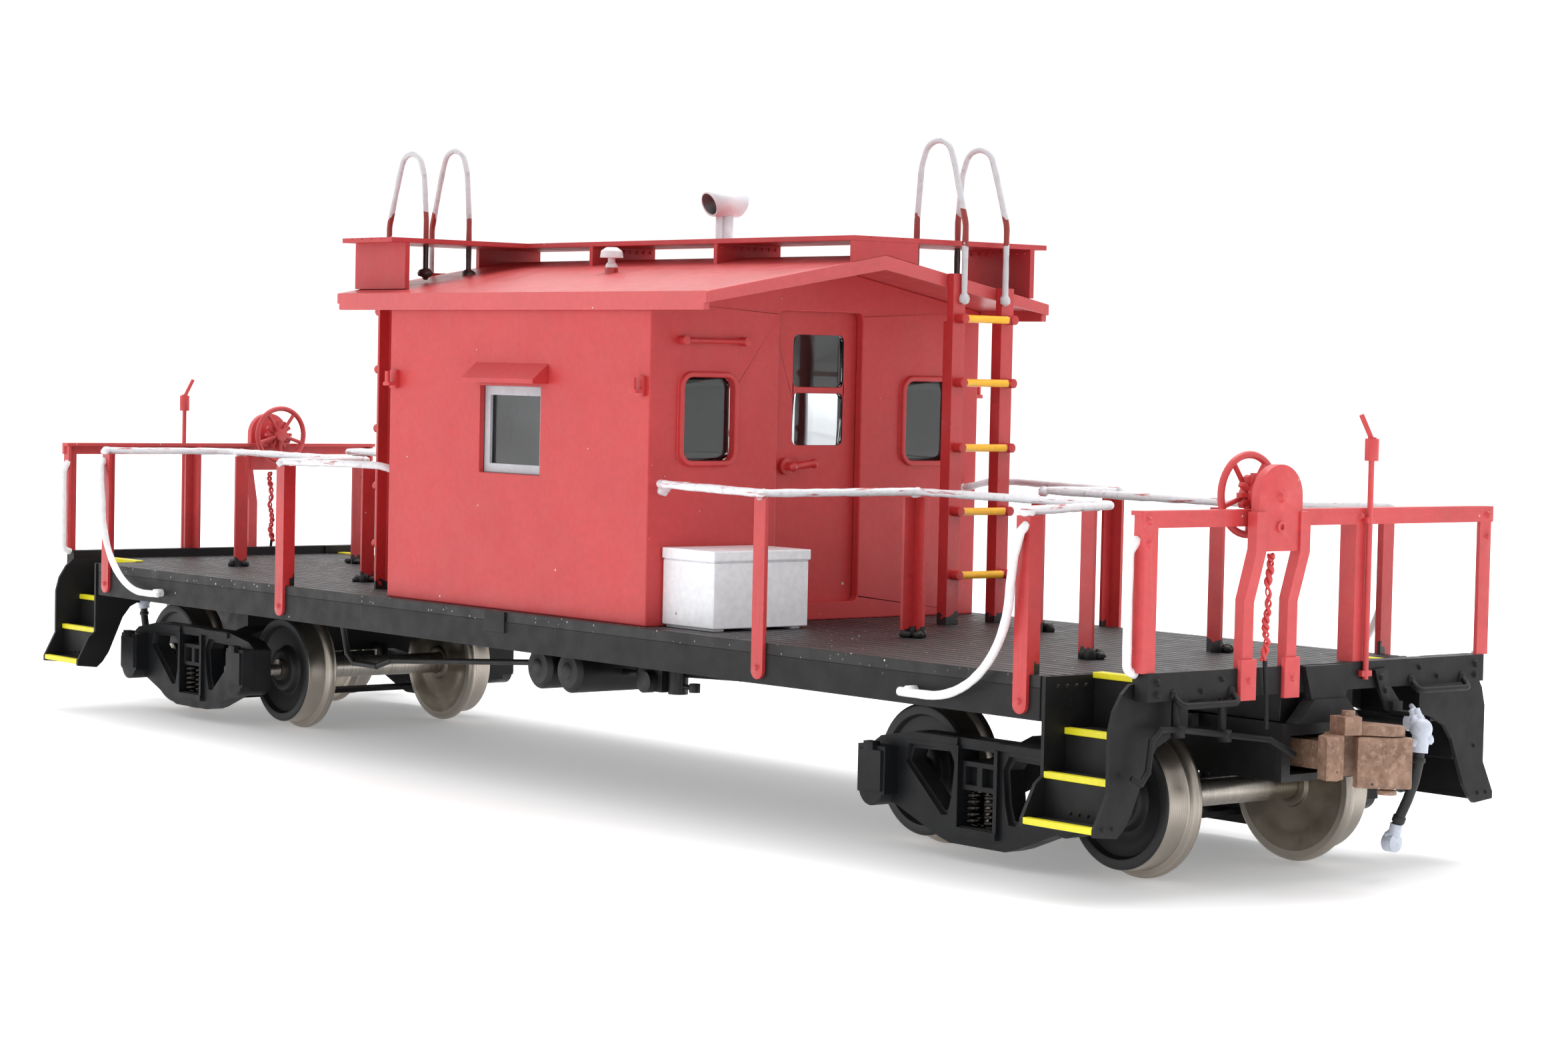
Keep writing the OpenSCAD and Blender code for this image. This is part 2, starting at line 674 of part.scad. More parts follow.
module grab_irons() {
    r = 7.9;
    xc = 54.0;
    zc = 20.0;
    y = sy + 0.85;
    color([0.9, 0.9, 0.92])
    for (sxn = [-1, 1]) for (syn = [-1, 1]) scale([sxn, syn, 1]) {
        // curved grab iron along the side sill
        translate([xc, y, zc]) rotate([90, 0, 0]) rotate([0, 0, -90])
            rotate_extrude(angle = 90) translate([r, 0]) circle(d = wire_d);
        wire([[xc + r, y, zc], [xc + r + 0.5, y, 23.0], [xc + r + 0.6, sy + 0.3, 23.6]], wire_d);
        rod([xc, y, zc - r], [51.3, y, zc - r], wire_d);
        rod([51.9, sy - 0.05, zc - r + 0.1], [51.9, y, zc - r + 0.1], 0.7);
        ball([xc, y, zc - r], wire_d * bead);
        ball([xc + r, y, zc], wire_d * bead);
        // upright grab iron beside the end rail
        wire([[bx - 1.0, by + 0.9, beam_top - 0.1], [bx - 1.0, by + 1.0, 22.6],
            [bx - 0.7, by + 0.5, 23.4]], wire_d);
        box(bx - 1.4, bx - 0.7, by, by + 1.2, beam_top - 0.5, beam_top - 0.1);
        // grab iron under the end beam
        wire([[bx + 0.1, 9.0, beam_bot + 0.25], [bx + 0.75, 9.0, beam_bot - 0.6],
            [bx + 0.75, 14.4, beam_bot - 0.6], [bx + 0.1, 14.4, beam_bot + 0.25]], 0.45);
    }
}

// ---------- hand brake ----------
stand_y = -5.8;
brake_z = 26.3;

module housing_2d(w) {
    translate([stand_y, (brake_z + 22.7) / 2]) square([w, brake_z - 22.7], center = true);
    translate([stand_y, brake_z]) circle(d = w);
}

module brake_stands() {
    color([0.8, 0.28, 0.28])
    both_ends() {
        plate_x(bx + 0.3, bx + 1.0) housing_2d(4.2);
        stud_x([bx + 1.0, stand_y, brake_z], 0.9, 0.35);
        translate([bx + 1.0, stand_y, brake_z - 2.0]) rotate([0, 90, 0]) difference() {
            cylinder(h = 0.15, d = 0.8);
            cylinder(h = 1, d = 0.4);
        }
        for (y = [-7.75, -3.5]) {
            plate_y(y - 0.48, y + 0.48) polygon([[bx + 1.15, brake_z - 1], [bx + 1.15, 22.6],
                [bx + 0.2, 19.3], [bx + 0.2, beam_top], [bx - 0.6, beam_top], [bx - 0.6, 19.5],
                [bx + 0.35, 22.9], [bx + 0.35, brake_z - 1]]);
            box(bx, bx + 0.35, y - 0.72, y + 0.72, 12.9, 15.6);
            stud_x([bx + 0.35, y, 14.2], 0.45, 0.18);
        }
        translate([bx - 1.2, stand_y, brake_z]) rotate([0, 90, 0]) cylinder(h = 1.7, d = 1.0);
        translate([bx - 1.2, stand_y, brake_z]) rotate([0, 90, 0]) cylinder(h = 0.35, d = 1.7);
    }
}

module brake_wheels() {
    x = bx - 1.9;
    color([0.75, 0.24, 0.24])
    both_ends() translate([x, stand_y, brake_z]) rotate([0, 90, 0]) {
        rotate_extrude() translate([2.65, 0]) circle(d = 0.5);
        translate([0, 0, -0.35]) cylinder(h = 1.05, d = 1.2);
        for (a = [0:72:288]) rotate([0, 0, a]) rod([0.4, 0, 0], [2.6, 0, 0], 0.36);
        for (a = [0:30:330]) rotate([0, 0, a]) translate([0.55, -0.16, 0.25]) cube([0.9, 0.32, 0.45]);
    }
}

module brake_chains() {
    color([0.72, 0.25, 0.25])
    both_ends() {
        for (i = [0:11]) translate([bx + 0.32, stand_y - 0.35, beam_top + 0.3 + i * 0.62])
            rotate([0, 0, i % 2 == 0 ? 15 : 105]) rotate([90, 0, 0])
                rotate_extrude() translate([0.32, 0]) circle(d = 0.22);
        rod([bx + 0.32, stand_y - 0.35, 10.9], [bx + 0.32, stand_y - 0.35, beam_top + 0.1], 0.35);
    }
}

module backup_valves() {
    x = bx + 0.2;
    y = 4.0;
    color([0.78, 0.3, 0.3])
    both_ends() {
        rod([x, y, beam_top - 1.2], [x, y, 28.7], 0.4);
        translate([x, y, 28.6]) cylinder(h = 1.5, d = 0.95);
        translate([x, y, 29.9]) cylinder(h = 0.3, d = 0.6);
        rod([x, y, 30.0], [x - 0.4, y - 0.7, 31.7], 0.35);
        box(bx - 0.1, bx + 0.35, y - 0.4, y + 0.4, bar_z + 0.1, bar_z + 0.5);
        box(bx, bx + 0.35, y - 0.5, y + 0.5, beam_top - 1.0, beam_top - 0.6);
    }
}

// ---------- air line at the ends ----------
module hose_brackets() {
    color([0.2, 0.2, 0.21])
    both_ends() {
        plate_x(bx, bx + 0.3) polygon([[4.9, 14.4], [6.2, 14.5], [6.5, 13.3], [7.5, 12.2],
            [7.3, 11.2], [6.3, 11.6], [5.5, 12.9]]);
        box(bx + 0.3, bx + 2.0, 6.5, 7.5, 11.3, 11.6);
        box(bx + 0.3, bx + 0.6, 6.5, 7.5, 11.3, 12.2);
        stud_x([bx + 0.3, 5.5, 13.9], 0.5, 0.22);
        stud_x([bx + 0.3, 6.0, 13.0], 0.5, 0.22);
        rod([bx - 6.0, 7.0, 10.9], [bx + 1.6, 7.0, 10.9], 0.8);
        box(bx - 4.2, bx - 3.8, 6.6, 7.4, 10.9, deck_under);
    }
}

module hose_fittings() {
    color([0.85, 0.87, 0.92])
    both_ends() {
        // angle cock
        translate([bx + 1.6, 7.0, 10.9]) rotate([0, 90, 0]) cylinder(h = 0.9, d = 1.3);
        ball([bx + 2.7, 7.0, 10.5], 1.5);
        rod([bx + 2.7, 7.0, 10.5], [bx + 2.7, 6.85, 8.9], 1.15);
        rod([bx + 2.7, 7.0, 10.9], [bx + 2.2, 7.0, 11.8], 0.5);
        rod([bx + 2.2, 6.9, 11.7], [bx + 1.2, 7.7, 11.9], 0.35);
        // glad hand
        rod([bx + 1.2, 6.5, 3.9], [bx + 1.05, 6.45, 3.1], 0.85);
        translate([bx + 0.5, 6.4, 2.6]) rotate([0, 90, 0]) cylinder(h = 0.8, d = 1.3);
        box(bx + 0.55, bx + 1.2, 5.75, 6.1, 2.4, 2.8);
    }
}

module air_hoses() {
    color([0.09, 0.09, 0.1])
    both_ends()
        wire([[bx + 2.7, 6.85, 8.9], [bx + 2.55, 6.8, 7.4], [bx + 1.95, 6.65, 5.6],
            [bx + 1.2, 6.5, 3.9]], 0.7);
}

module uncoupling_levers() {
    d = 0.42;
    x = bx - 0.3;
    color([0.2, 0.2, 0.21])
    both_ends() {
        wire([[x, -17.7, 8.3], [x, -16.9, 7.9], [x, -16.3, 8.6], [x, -16.0, 10.6],
            [x, -15.2, 11.3], [x, -13.3, 11.2], [x, -4.8, 10.1], [bx + 0.9, -3.6, 9.1]], d);
        for (b = [[-13.6, 11.1], [-9.2, 10.6]]) {
            box(x - 0.35, x + 0.35, b[0] - 0.3, b[0] + 0.3, b[1] - 0.4, b[1] + 0.4);
            box(x - 0.35, x - 0.15, b[0] - 0.3, b[0] + 0.3, b[1] + 0.3, deck_under - 0.1);
        }
    }
}

// ---------- underbody ----------
module air_reservoirs() {
    color([0.16, 0.16, 0.17])
    for (x = [0.2, 4.3]) {
        translate([x, -12.4, 9.35]) rotate([-90, 0, 0]) cylinder(h = 8.6, d = 3.5);
        for (y = [-12.4, -3.8]) translate([x, y, 9.35]) rotate([y < -8 ? 90 : -90, 0, 0]) {
            cylinder(h = 0.35, d1 = 3.5, d2 = 2.7);
            cylinder(h = 0.5, d1 = 2.7, d2 = 1.0);
        }
        for (y = [-10.6, -5.8]) box(x - 1.9, x + 1.9, y - 0.25, y + 0.25, 10.6, deck_under);
    }
}

module brake_cylinder() {
    z = 9.7;
    y = 6.2;
    color([0.17, 0.17, 0.18]) {
        translate([-27, y, z]) rotate([0, 90, 0]) cylinder(h = 6.5, d = 3.6);
        translate([-20.5, y, z]) rotate([0, 90, 0]) cylinder(h = 0.6, d = 4.2);
        translate([-28.0, y, z]) rotate([0, 90, 0]) cylinder(h = 1.0, d1 = 2.4, d2 = 3.6);
        rod([-19.9, y, z], [-15.2, y, z], 0.9);
        box(-15.6, -14.9, y - 5.2, y + 2.0, z - 0.25, z + 0.25);
        for (x = [-26, -22]) box(x - 0.3, x + 0.3, y - 1.2, y + 1.2, z + 1.2, deck_under);
        box(-18.4, -17.8, y - 0.6, y + 0.6, z - 0.3, deck_under);
    }
}

module control_valve() {
    color([0.15, 0.15, 0.16]) {
        box(9.6, 12.4, -9.4, -7.2, 8.2, 10.6);
        translate([11.0, -9.3, 9.0]) rotate([90, 0, 0]) cylinder(h = 0.9, d = 1.8);
        translate([13.1, -8.3, 8.1]) cylinder(h = 2.4, d = 1.6);
        translate([8.7, -8.3, 8.6]) cylinder(h = 1.6, d = 1.3);
        box(8.2, 13.9, -8.8, -7.8, 10.5, 11.0);
        box(10.2, 11.8, -8.6, -7.4, 10.6, deck_under);
        translate([15.2, -8.3, 8.4]) cylinder(h = 0.7, d = 0.9);
        rod([13.6, -8.3, 8.75], [15.2, -8.3, 8.75], 0.4);
    }
}

module brake_pipes() {
    d = 0.5;
    color([0.14, 0.14, 0.15]) {
        wire([[-36, -13.0, 11.9], [-31.5, -13.0, 11.9], [-29.6, -12.6, 10.9], [-29.0, -12.4, 8.2],
            [-28.2, -12.2, 7.4], [-24.6, -12.2, 7.4], [-23.0, -11.8, 8.0], [-3.5, -9.0, 9.3],
            [-1.2, -9.0, 9.35]], d);
        wire([[5.9, -8.3, 9.3], [8.2, -8.3, 9.3]], d);
        wire([[13.8, -8.0, 9.7], [20.0, -7.6, 9.9], [36.2, -7.0, 9.9]], d);
        rod([-36, -13, 11.9], [-36, -13, deck_under], d);
        rod([36, -7, 9.9], [36, -7, deck_under], d);
        rod([22, -7.55, 9.9], [22, -7.55, deck_under], 0.4);
    }
}

module brake_rods() {
    z = 9.7;
    color([0.14, 0.14, 0.15]) {
        rod([-15.3, 1.4, z], [8.0, -0.6, z - 0.3], 0.45);
        rod([8.0, 3.2, z - 0.3], [36.0, 1.6, z - 0.6], 0.45);
        box(7.6, 8.4, -1.4, 4.4, z - 0.55, z - 0.05);
        rod([-15.3, 3.8, z], [-36.0, 1.8, z - 0.6], 0.45);
        translate([8.0, 1.2, z - 0.1]) cylinder(h = 1.6, d = 0.8);
        box(34.25, 34.75, 1.2, 2.2, z - 0.8, 11.1);
        box(-34.75, -34.25, 1.4, 2.4, z - 0.8, 11.1);
    }
}

// ---------- couplers ----------
module draft_boxes() {
    x1 = bx - 11.4;
    x2 = bx - 0.3;
    color([0.16, 0.16, 0.17])
    both_ends() difference() {
        union() {
            box(x1, x2, -3.3, 3.3, 7.15, 11.1);
            box(x1 + 1.0, x1 + 3.2, -4.0, 4.0, 10.2, 11.1);
            box(x2 - 0.6, x2, -3.6, 3.6, 7.15, 11.1);
        }
        box(x1 + 0.3, x2 + 1, -2.75, 2.75, 7.65, 10.25);
        translate([coup_pivot_x, 0, 7.0]) cylinder(h = 1, d = 1.2);
    }
    color([0.16, 0.16, 0.17])
    both_ends() {
        translate([coup_pivot_x, 0, 7.0]) cylinder(h = 3.3, d = 1.2);
        translate([coup_pivot_x, 0, 6.8]) cylinder(h = 0.35, d = 2.0);
    }
}

module coupler_body() {
    z1 = coup_z - 1.25;
    z2 = coup_z + 1.6;
    difference() {
        union() {
            box(coup_pivot_x, bx + 1.4, -0.95, 0.95, coup_z - 0.95, coup_z + 0.95);
            translate([coup_pivot_x, 0, coup_z - 0.95]) cylinder(h = 1.9, d = 2.6);
            // head with its guard arm
            translate([0, 0, z1]) linear_extrude(height = z2 - z1) polygon([[bx + 0.9, -0.9],
                [bx + 1.6, -1.5], [bx + 2.4, -3.1], [bx + 3.6, -3.6], [bx + 4.1, -3.1],
                [bx + 3.6, -1.9], [bx + 2.7, -1.2], [bx + 2.4, -0.5], [bx + 2.4, 2.4],
                [bx + 1.6, 2.6], [bx + 0.9, 0.9]]);
            // lug over the knuckle
            translate([0, 0, z2 - 0.05]) linear_extrude(height = 0.65) polygon([[bx + 1.5, -0.6],
                [bx + 2.9, -0.4], [bx + 5.1, 1.2], [bx + 5.3, 2.2], [bx + 4.5, 2.75],
                [bx + 3.2, 2.6], [bx + 1.6, 2.3]]);
            // lock lift
            translate([0, 0, z2]) linear_extrude(height = 1.2) polygon([[bx + 1.7, -1.2],
                [bx + 3.3, -1.5], [bx + 3.7, -0.3], [bx + 1.9, 0.8]]);
            translate([bx + 2.6, -0.4, z2 + 1.1]) cylinder(h = 0.45, d = 0.9);
        }
        translate([coup_pivot_x, 0, 7]) cylinder(h = 4, d = 1.2 + 2 * play);
    }
    translate([knuckle_x, knuckle_y, 6.75]) cylinder(h = z2 + 0.3 - 6.75, d = 0.8);
    translate([knuckle_x, knuckle_y, 6.55]) cylinder(h = 0.3, d = 1.3);
}

module coupler_a() {
    color([0.55, 0.4, 0.32]) coupler_body();
}

module coupler_b() {
    color([0.55, 0.4, 0.32]) rotate([0, 0, 180]) coupler_body();
}

module knuckle_body() {
    z1 = coup_z - 1.95;
    translate([knuckle_x, knuckle_y, z1]) difference() {
        linear_extrude(height = 3.42) union() {
            circle(d = 2.0);
            polygon([[-0.75, -2.15], [1.55, 0.65], [1.2, 1.05], [0.2, 0.95], [-0.9, 0.2],
                [-1.25, -0.8], [-1.45, -1.8]]);
        }
        translate([0, 0, -1]) cylinder(h = 6, d = 0.8 + 2 * play);
    }
}

module knuckle_a() {
    color([0.6, 0.45, 0.36]) knuckle_body();
}

module knuckle_b() {
    color([0.6, 0.45, 0.36]) rotate([0, 0, 180]) knuckle_body();
}

// ---------- trucks ----------
pin_d = 1.8;
bolster_top = 9.75;
frame_y1 = 12.0;
frame_y2 = 13.7;

module kingpins() {
    color([0.5, 0.5, 0.52])
    for (x = [-tx, tx]) {
        translate([x, 0, 5.9]) cylinder(h = 7.5, d = pin_d);
        translate([x, 0, 5.2]) cylinder(h = 0.75, d = 3.2);
    }
}

module truck_bolster() {
    difference() {
        union() {
            translate([0, 0, 8.4]) cylinder(h = bolster_top - 8.4, d = 5.6);
            plate_x(-1.75, 1.75) polygon([[-frame_y2 + 0.1, 5.15], [-10.8, 5.15], [-7.5, 6.15],
                [7.5, 6.15], [10.8, 5.15], [frame_y2 - 0.1, 5.15], [frame_y2 - 0.1, 7.15],
                [11.0, 7.15], [7.0, 8.5], [-7.0, 8.5], [-11.0, 7.15], [-frame_y2 + 0.1, 7.15]]);
            // brake beams and shoes, hung inside the wheels
            for (e = [-1, 1]) scale([e, 1, 1]) {
                box(3.35, 3.75, -8.6, 8.6, 5.0, 5.5);
                for (s = [-1, 1]) scale([1, s, 1]) {
                    box(1.6, 3.4, 5.0, 5.6, 6.2, 6.8);
                    box(3.1, 3.6, 5.0, 5.6, 5.2, 6.8);
                }
            }
        }
        translate([0, 0, 0]) cylinder(h = 20, d = pin_d + 2 * play);
        for (s = [-1, 1]) scale([1, s, 1]) for (x = [-0.85, 0.85])
            box(x - 0.6, x + 0.6, frame_y2 - 0.8, frame_y2 + 1, 5.5, 6.8);
        // relief under the middle for the pin head
        translate([0, 0, 4]) cylinder(h = 2.1 + 0.05, d = 3.8);
    }
}

module bolster_a() {
    color([0.16, 0.16, 0.17]) translate([tx, 0, 0]) truck_bolster();
}

module bolster_b() {
    color([0.16, 0.16, 0.17]) translate([-tx, 0, 0]) truck_bolster();
}

module frame_outline() {
    polygon([[-11.3, 7.4], [-10.2, 8.1], [-6.5, 8.75], [6.5, 8.75], [10.2, 8.1], [11.3, 7.4],
        [11.3, 3.7], [8.6, 3.4], [3.9, 1.6], [2.8, 1.3], [-2.8, 1.3], [-3.9, 1.6], [-8.6, 3.4],
        [-11.3, 3.7]]);
}

// window between the axle box and the column, left side; k widens it
module tri_window(k) {
    polygon([[-7.0 - k, 7.5 + k], [-3.3 + k, 7.6 + k], [-2.75 + k, 6.9], [-3.0 + k, 4.6],
        [-3.4 + k, 3.5 - k], [-3.7, 3.45 - k], [-7.3 - k, 6.6]]);
}

module frame_layer(y1, y2, k) {
    plate_y(y1, y2) difference() {
        frame_outline();
        tri_window(k);
        scale([-1, 1]) tri_window(k);
        polygon([[-1.8, 2.6], [1.8, 2.6], [1.8, 8.0], [-1.8, 8.0]]);
    }
}

module truck_sideframes() {
    for (s = [-1, 1]) scale([1, s, 1]) {
        difference() {
            union() {
                frame_layer(frame_y1, frame_y2 - 0.35, 0);
                frame_layer(frame_y2 - 0.35, frame_y2, 0.3);
                for (e = [-1, 1]) scale([e, 1, 1]) {
                    box(ax - 1.45, ax + 1.45, frame_y1, 14.95, 4.1, 7.5);
                    translate([ax, frame_y1, 4.5]) rotate([-90, 0, 0]) cylinder(h = 2.95, d = 2.6);
                    box(ax - 1.2, ax + 1.2, 14.95, 15.15, 4.3, 7.2);
                    box(ax - 0.5, ax + 0.5, 14.6, 15.3, 7.2, 7.8);
                    box(1.8, 2.15, frame_y2, frame_y2 + 0.3, 2.4, 8.2);
                    box(2.0, 6.6, frame_y2, frame_y2 + 0.2, 8.2, 8.7);
                }
                box(-2.1, 2.1, frame_y1 - 0.5, frame_y2 + 0.35, 2.0, 2.55);
                box(-1.1, 1.1, frame_y1 - 0.8, frame_y1, 2.0, 2.4);
            }
            for (x = [-ax, ax]) translate([x, 0, axle_z]) rotate([-90, 0, 0])
                cylinder(h = 13.75, d = 1.0 + 2 * play);
        }
    }
    // transom joining the two side frames under the bolster
    box(-1.1, 1.1, -frame_y1 + 0.7, frame_y1 - 0.7, 2.0, 2.4);
}

module sideframes_a() {
    color([0.2, 0.2, 0.21]) translate([tx, 0, 0]) truck_sideframes();
}

module sideframes_b() {
    color([0.2, 0.2, 0.21]) translate([-tx, 0, 0]) truck_sideframes();
}

module truck_springs() {
    h = 5.15 - 2.6;
    n = 5;
    for (s = [-1, 1]) for (x = [-0.9, 0.9]) translate([x, s * 12.95, 2.6]) {
        cylinder(h = h, d = 1.1);
        for (i = [0:n - 1]) translate([0, 0, 0.2 + i * (h - 0.4) / (n - 1)])
            rotate_extrude() translate([0.6, 0]) circle(d = 0.32);
    }
}

module springs_a() {
    color([0.3, 0.3, 0.3]) translate([tx, 0, 0]) truck_springs();
}

module springs_b() {
    color([0.3, 0.3, 0.3]) translate([-tx, 0, 0]) truck_springs();
}

axle_d = 1.9;

module wheel_pair(x) {
    translate([x, 0, axle_z]) for (s = [-1, 1]) rotate([s > 0 ? -90 : 90, 0, 0])
        rotate_extrude($fn = 48) polygon([[axle_d / 2, wheel_back - 0.25],
            [1.5, wheel_back - 0.25], [1.6, wheel_back + 0.05], [3.4, wheel_back + 0.15],
            [3.9, wheel_back], [tread_d / 2 + 0.35, wheel_back],
            [tread_d / 2 + flange_h - 0.06, wheel_back + 0.2],
            [tread_d / 2 + flange_h, wheel_back + 0.4],
            [tread_d / 2 + flange_h - 0.03, wheel_back + 0.62],
            [tread_d / 2 + 0.4, wheel_back + 0.85], [tread_d / 2 + 0.1, wheel_back + 0.95],
            [tread_d / 2 + 0.05, wheel_back + 1.1],
            [tread_d / 2 - 0.04, wheel_face - 0.15], [tread_d / 2 - 0.2, wheel_face],
            [4.0, wheel_face], [3.85, wheel_face - 0.45], [2.2, wheel_face - 0.75],
            [1.9, wheel_face - 0.1], [1.6, wheel_face], [axle_d / 2, wheel_face]]);
}

module wheels_a1() {
    color([0.25, 0.24, 0.23]) wheel_pair(tx + ax);
}

module wheels_a2() {
    color([0.25, 0.24, 0.23]) wheel_pair(tx - ax);
}

module wheels_b1() {
    color([0.25, 0.24, 0.23]) wheel_pair(-tx - ax);
}

module wheels_b2() {
    color([0.25, 0.24, 0.23]) wheel_pair(-tx + ax);
}

module axle(x) {
    translate([x, 0, axle_z]) for (s = [-1, 1]) rotate([s > 0 ? -90 : 90, 0, 0]) {
        cylinder(h = wheel_face + 0.3, d = axle_d);
        translate([0, 0, wheel_face + 0.3]) cylinder(h = 13.5 - wheel_face - 0.3, d = 1.0);
    }
}

module axle_a1() {
    color([0.75, 0.75, 0.76]) axle(tx + ax);
}

module axle_a2() {
    color([0.75, 0.75, 0.76]) axle(tx - ax);
}

module axle_b1() {
    color([0.75, 0.75, 0.76]) axle(-tx - ax);
}

module axle_b2() {
    color([0.75, 0.75, 0.76]) axle(-tx + ax);
}

deck();
side_sills();
center_sill();
end_beams();
step_wells();
step_treads();
step_nosings();
cabin_walls();
end_doors();
door_knobs();
window_glass();
window_frames();
window_awnings();
wall_fittings();
roof();
roof_walk();
walk_supports();
smokejack();
roof_vent();
ladder_stiles();
ladder_rungs();
ladder_arches();
tool_boxes();
rail_posts();
side_handrails();
end_rails();
grab_irons();
brake_stands();
brake_wheels();
brake_chains();
backup_valves();
hose_brackets();
air_hoses();
hose_fittings();
air_reservoirs();
brake_cylinder();
control_valve();
brake_pipes();
brake_rods();
uncoupling_levers();
draft_boxes();
kingpins();
coupler_a();
coupler_b();
knuckle_a();
knuckle_b();
bolster_a();
bolster_b();
sideframes_a();
sideframes_b();
springs_a();
springs_b();
wheels_a1();
wheels_a2();
wheels_b1();
wheels_b2();
axle_a1();
axle_a2();
axle_b1();
axle_b2();
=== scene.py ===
import math
import random

import bmesh
import bpy
from mathutils import Matrix, Vector, noise


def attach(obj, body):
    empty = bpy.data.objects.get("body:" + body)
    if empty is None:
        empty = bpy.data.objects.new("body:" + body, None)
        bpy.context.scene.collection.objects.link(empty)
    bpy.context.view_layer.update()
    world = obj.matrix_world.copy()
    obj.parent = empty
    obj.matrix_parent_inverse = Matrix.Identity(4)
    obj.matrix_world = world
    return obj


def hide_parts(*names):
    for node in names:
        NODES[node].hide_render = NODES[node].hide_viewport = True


MM = 0.001
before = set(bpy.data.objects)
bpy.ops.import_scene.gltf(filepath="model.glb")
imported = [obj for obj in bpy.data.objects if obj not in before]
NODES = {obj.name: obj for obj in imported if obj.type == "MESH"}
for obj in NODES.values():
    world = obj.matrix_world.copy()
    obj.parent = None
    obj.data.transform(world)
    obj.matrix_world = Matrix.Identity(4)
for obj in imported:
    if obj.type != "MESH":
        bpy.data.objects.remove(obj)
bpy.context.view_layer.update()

# ---------- sizes repeated from the CAD model, in millimetres ----------
DECK_TOP = 14.2
CAB_SHIFT = 2.0
CAB_X = 17.9
CAB_Y = 16.9
ROOF_X = 25.1
BEAM_X = 72.7
BEAM_Y = 16.8
SILL_Y = 18.0
PLANK_WIDTH = 1.2
RAIL_Z = 25.08
WALK_Z = 44.3
LADDER_Y = 9.65
RUNG_HALF = 2.2
VENT_FLANGE_Z = 41.92
TRUCK_X = 53.8
AXLE_X = 9.8
AXLE_Z = 5.44
WHEEL_FACE_Y = 8.7
WHEEL_RIM_R = 4.7
SPRING_Y = 12.95
SPRING_Z = (2.55, 5.15)
JACK_X, JACK_Y, JACK_Z = -1.4, 7.0, 47.75
JACK_BORE_R, JACK_OUTER_R = 0.84, 1.02
POSTS_CAB = [(33.0, 18.38), (34.5, 4.6), (34.5, 8.6)]
POSTS_END = [(56.0, 5.3), (56.0, 7.7)]
POST_SILL = 62.4
CORNERS = [(1, -1), (1, 1), (-1, 1), (-1, -1)]


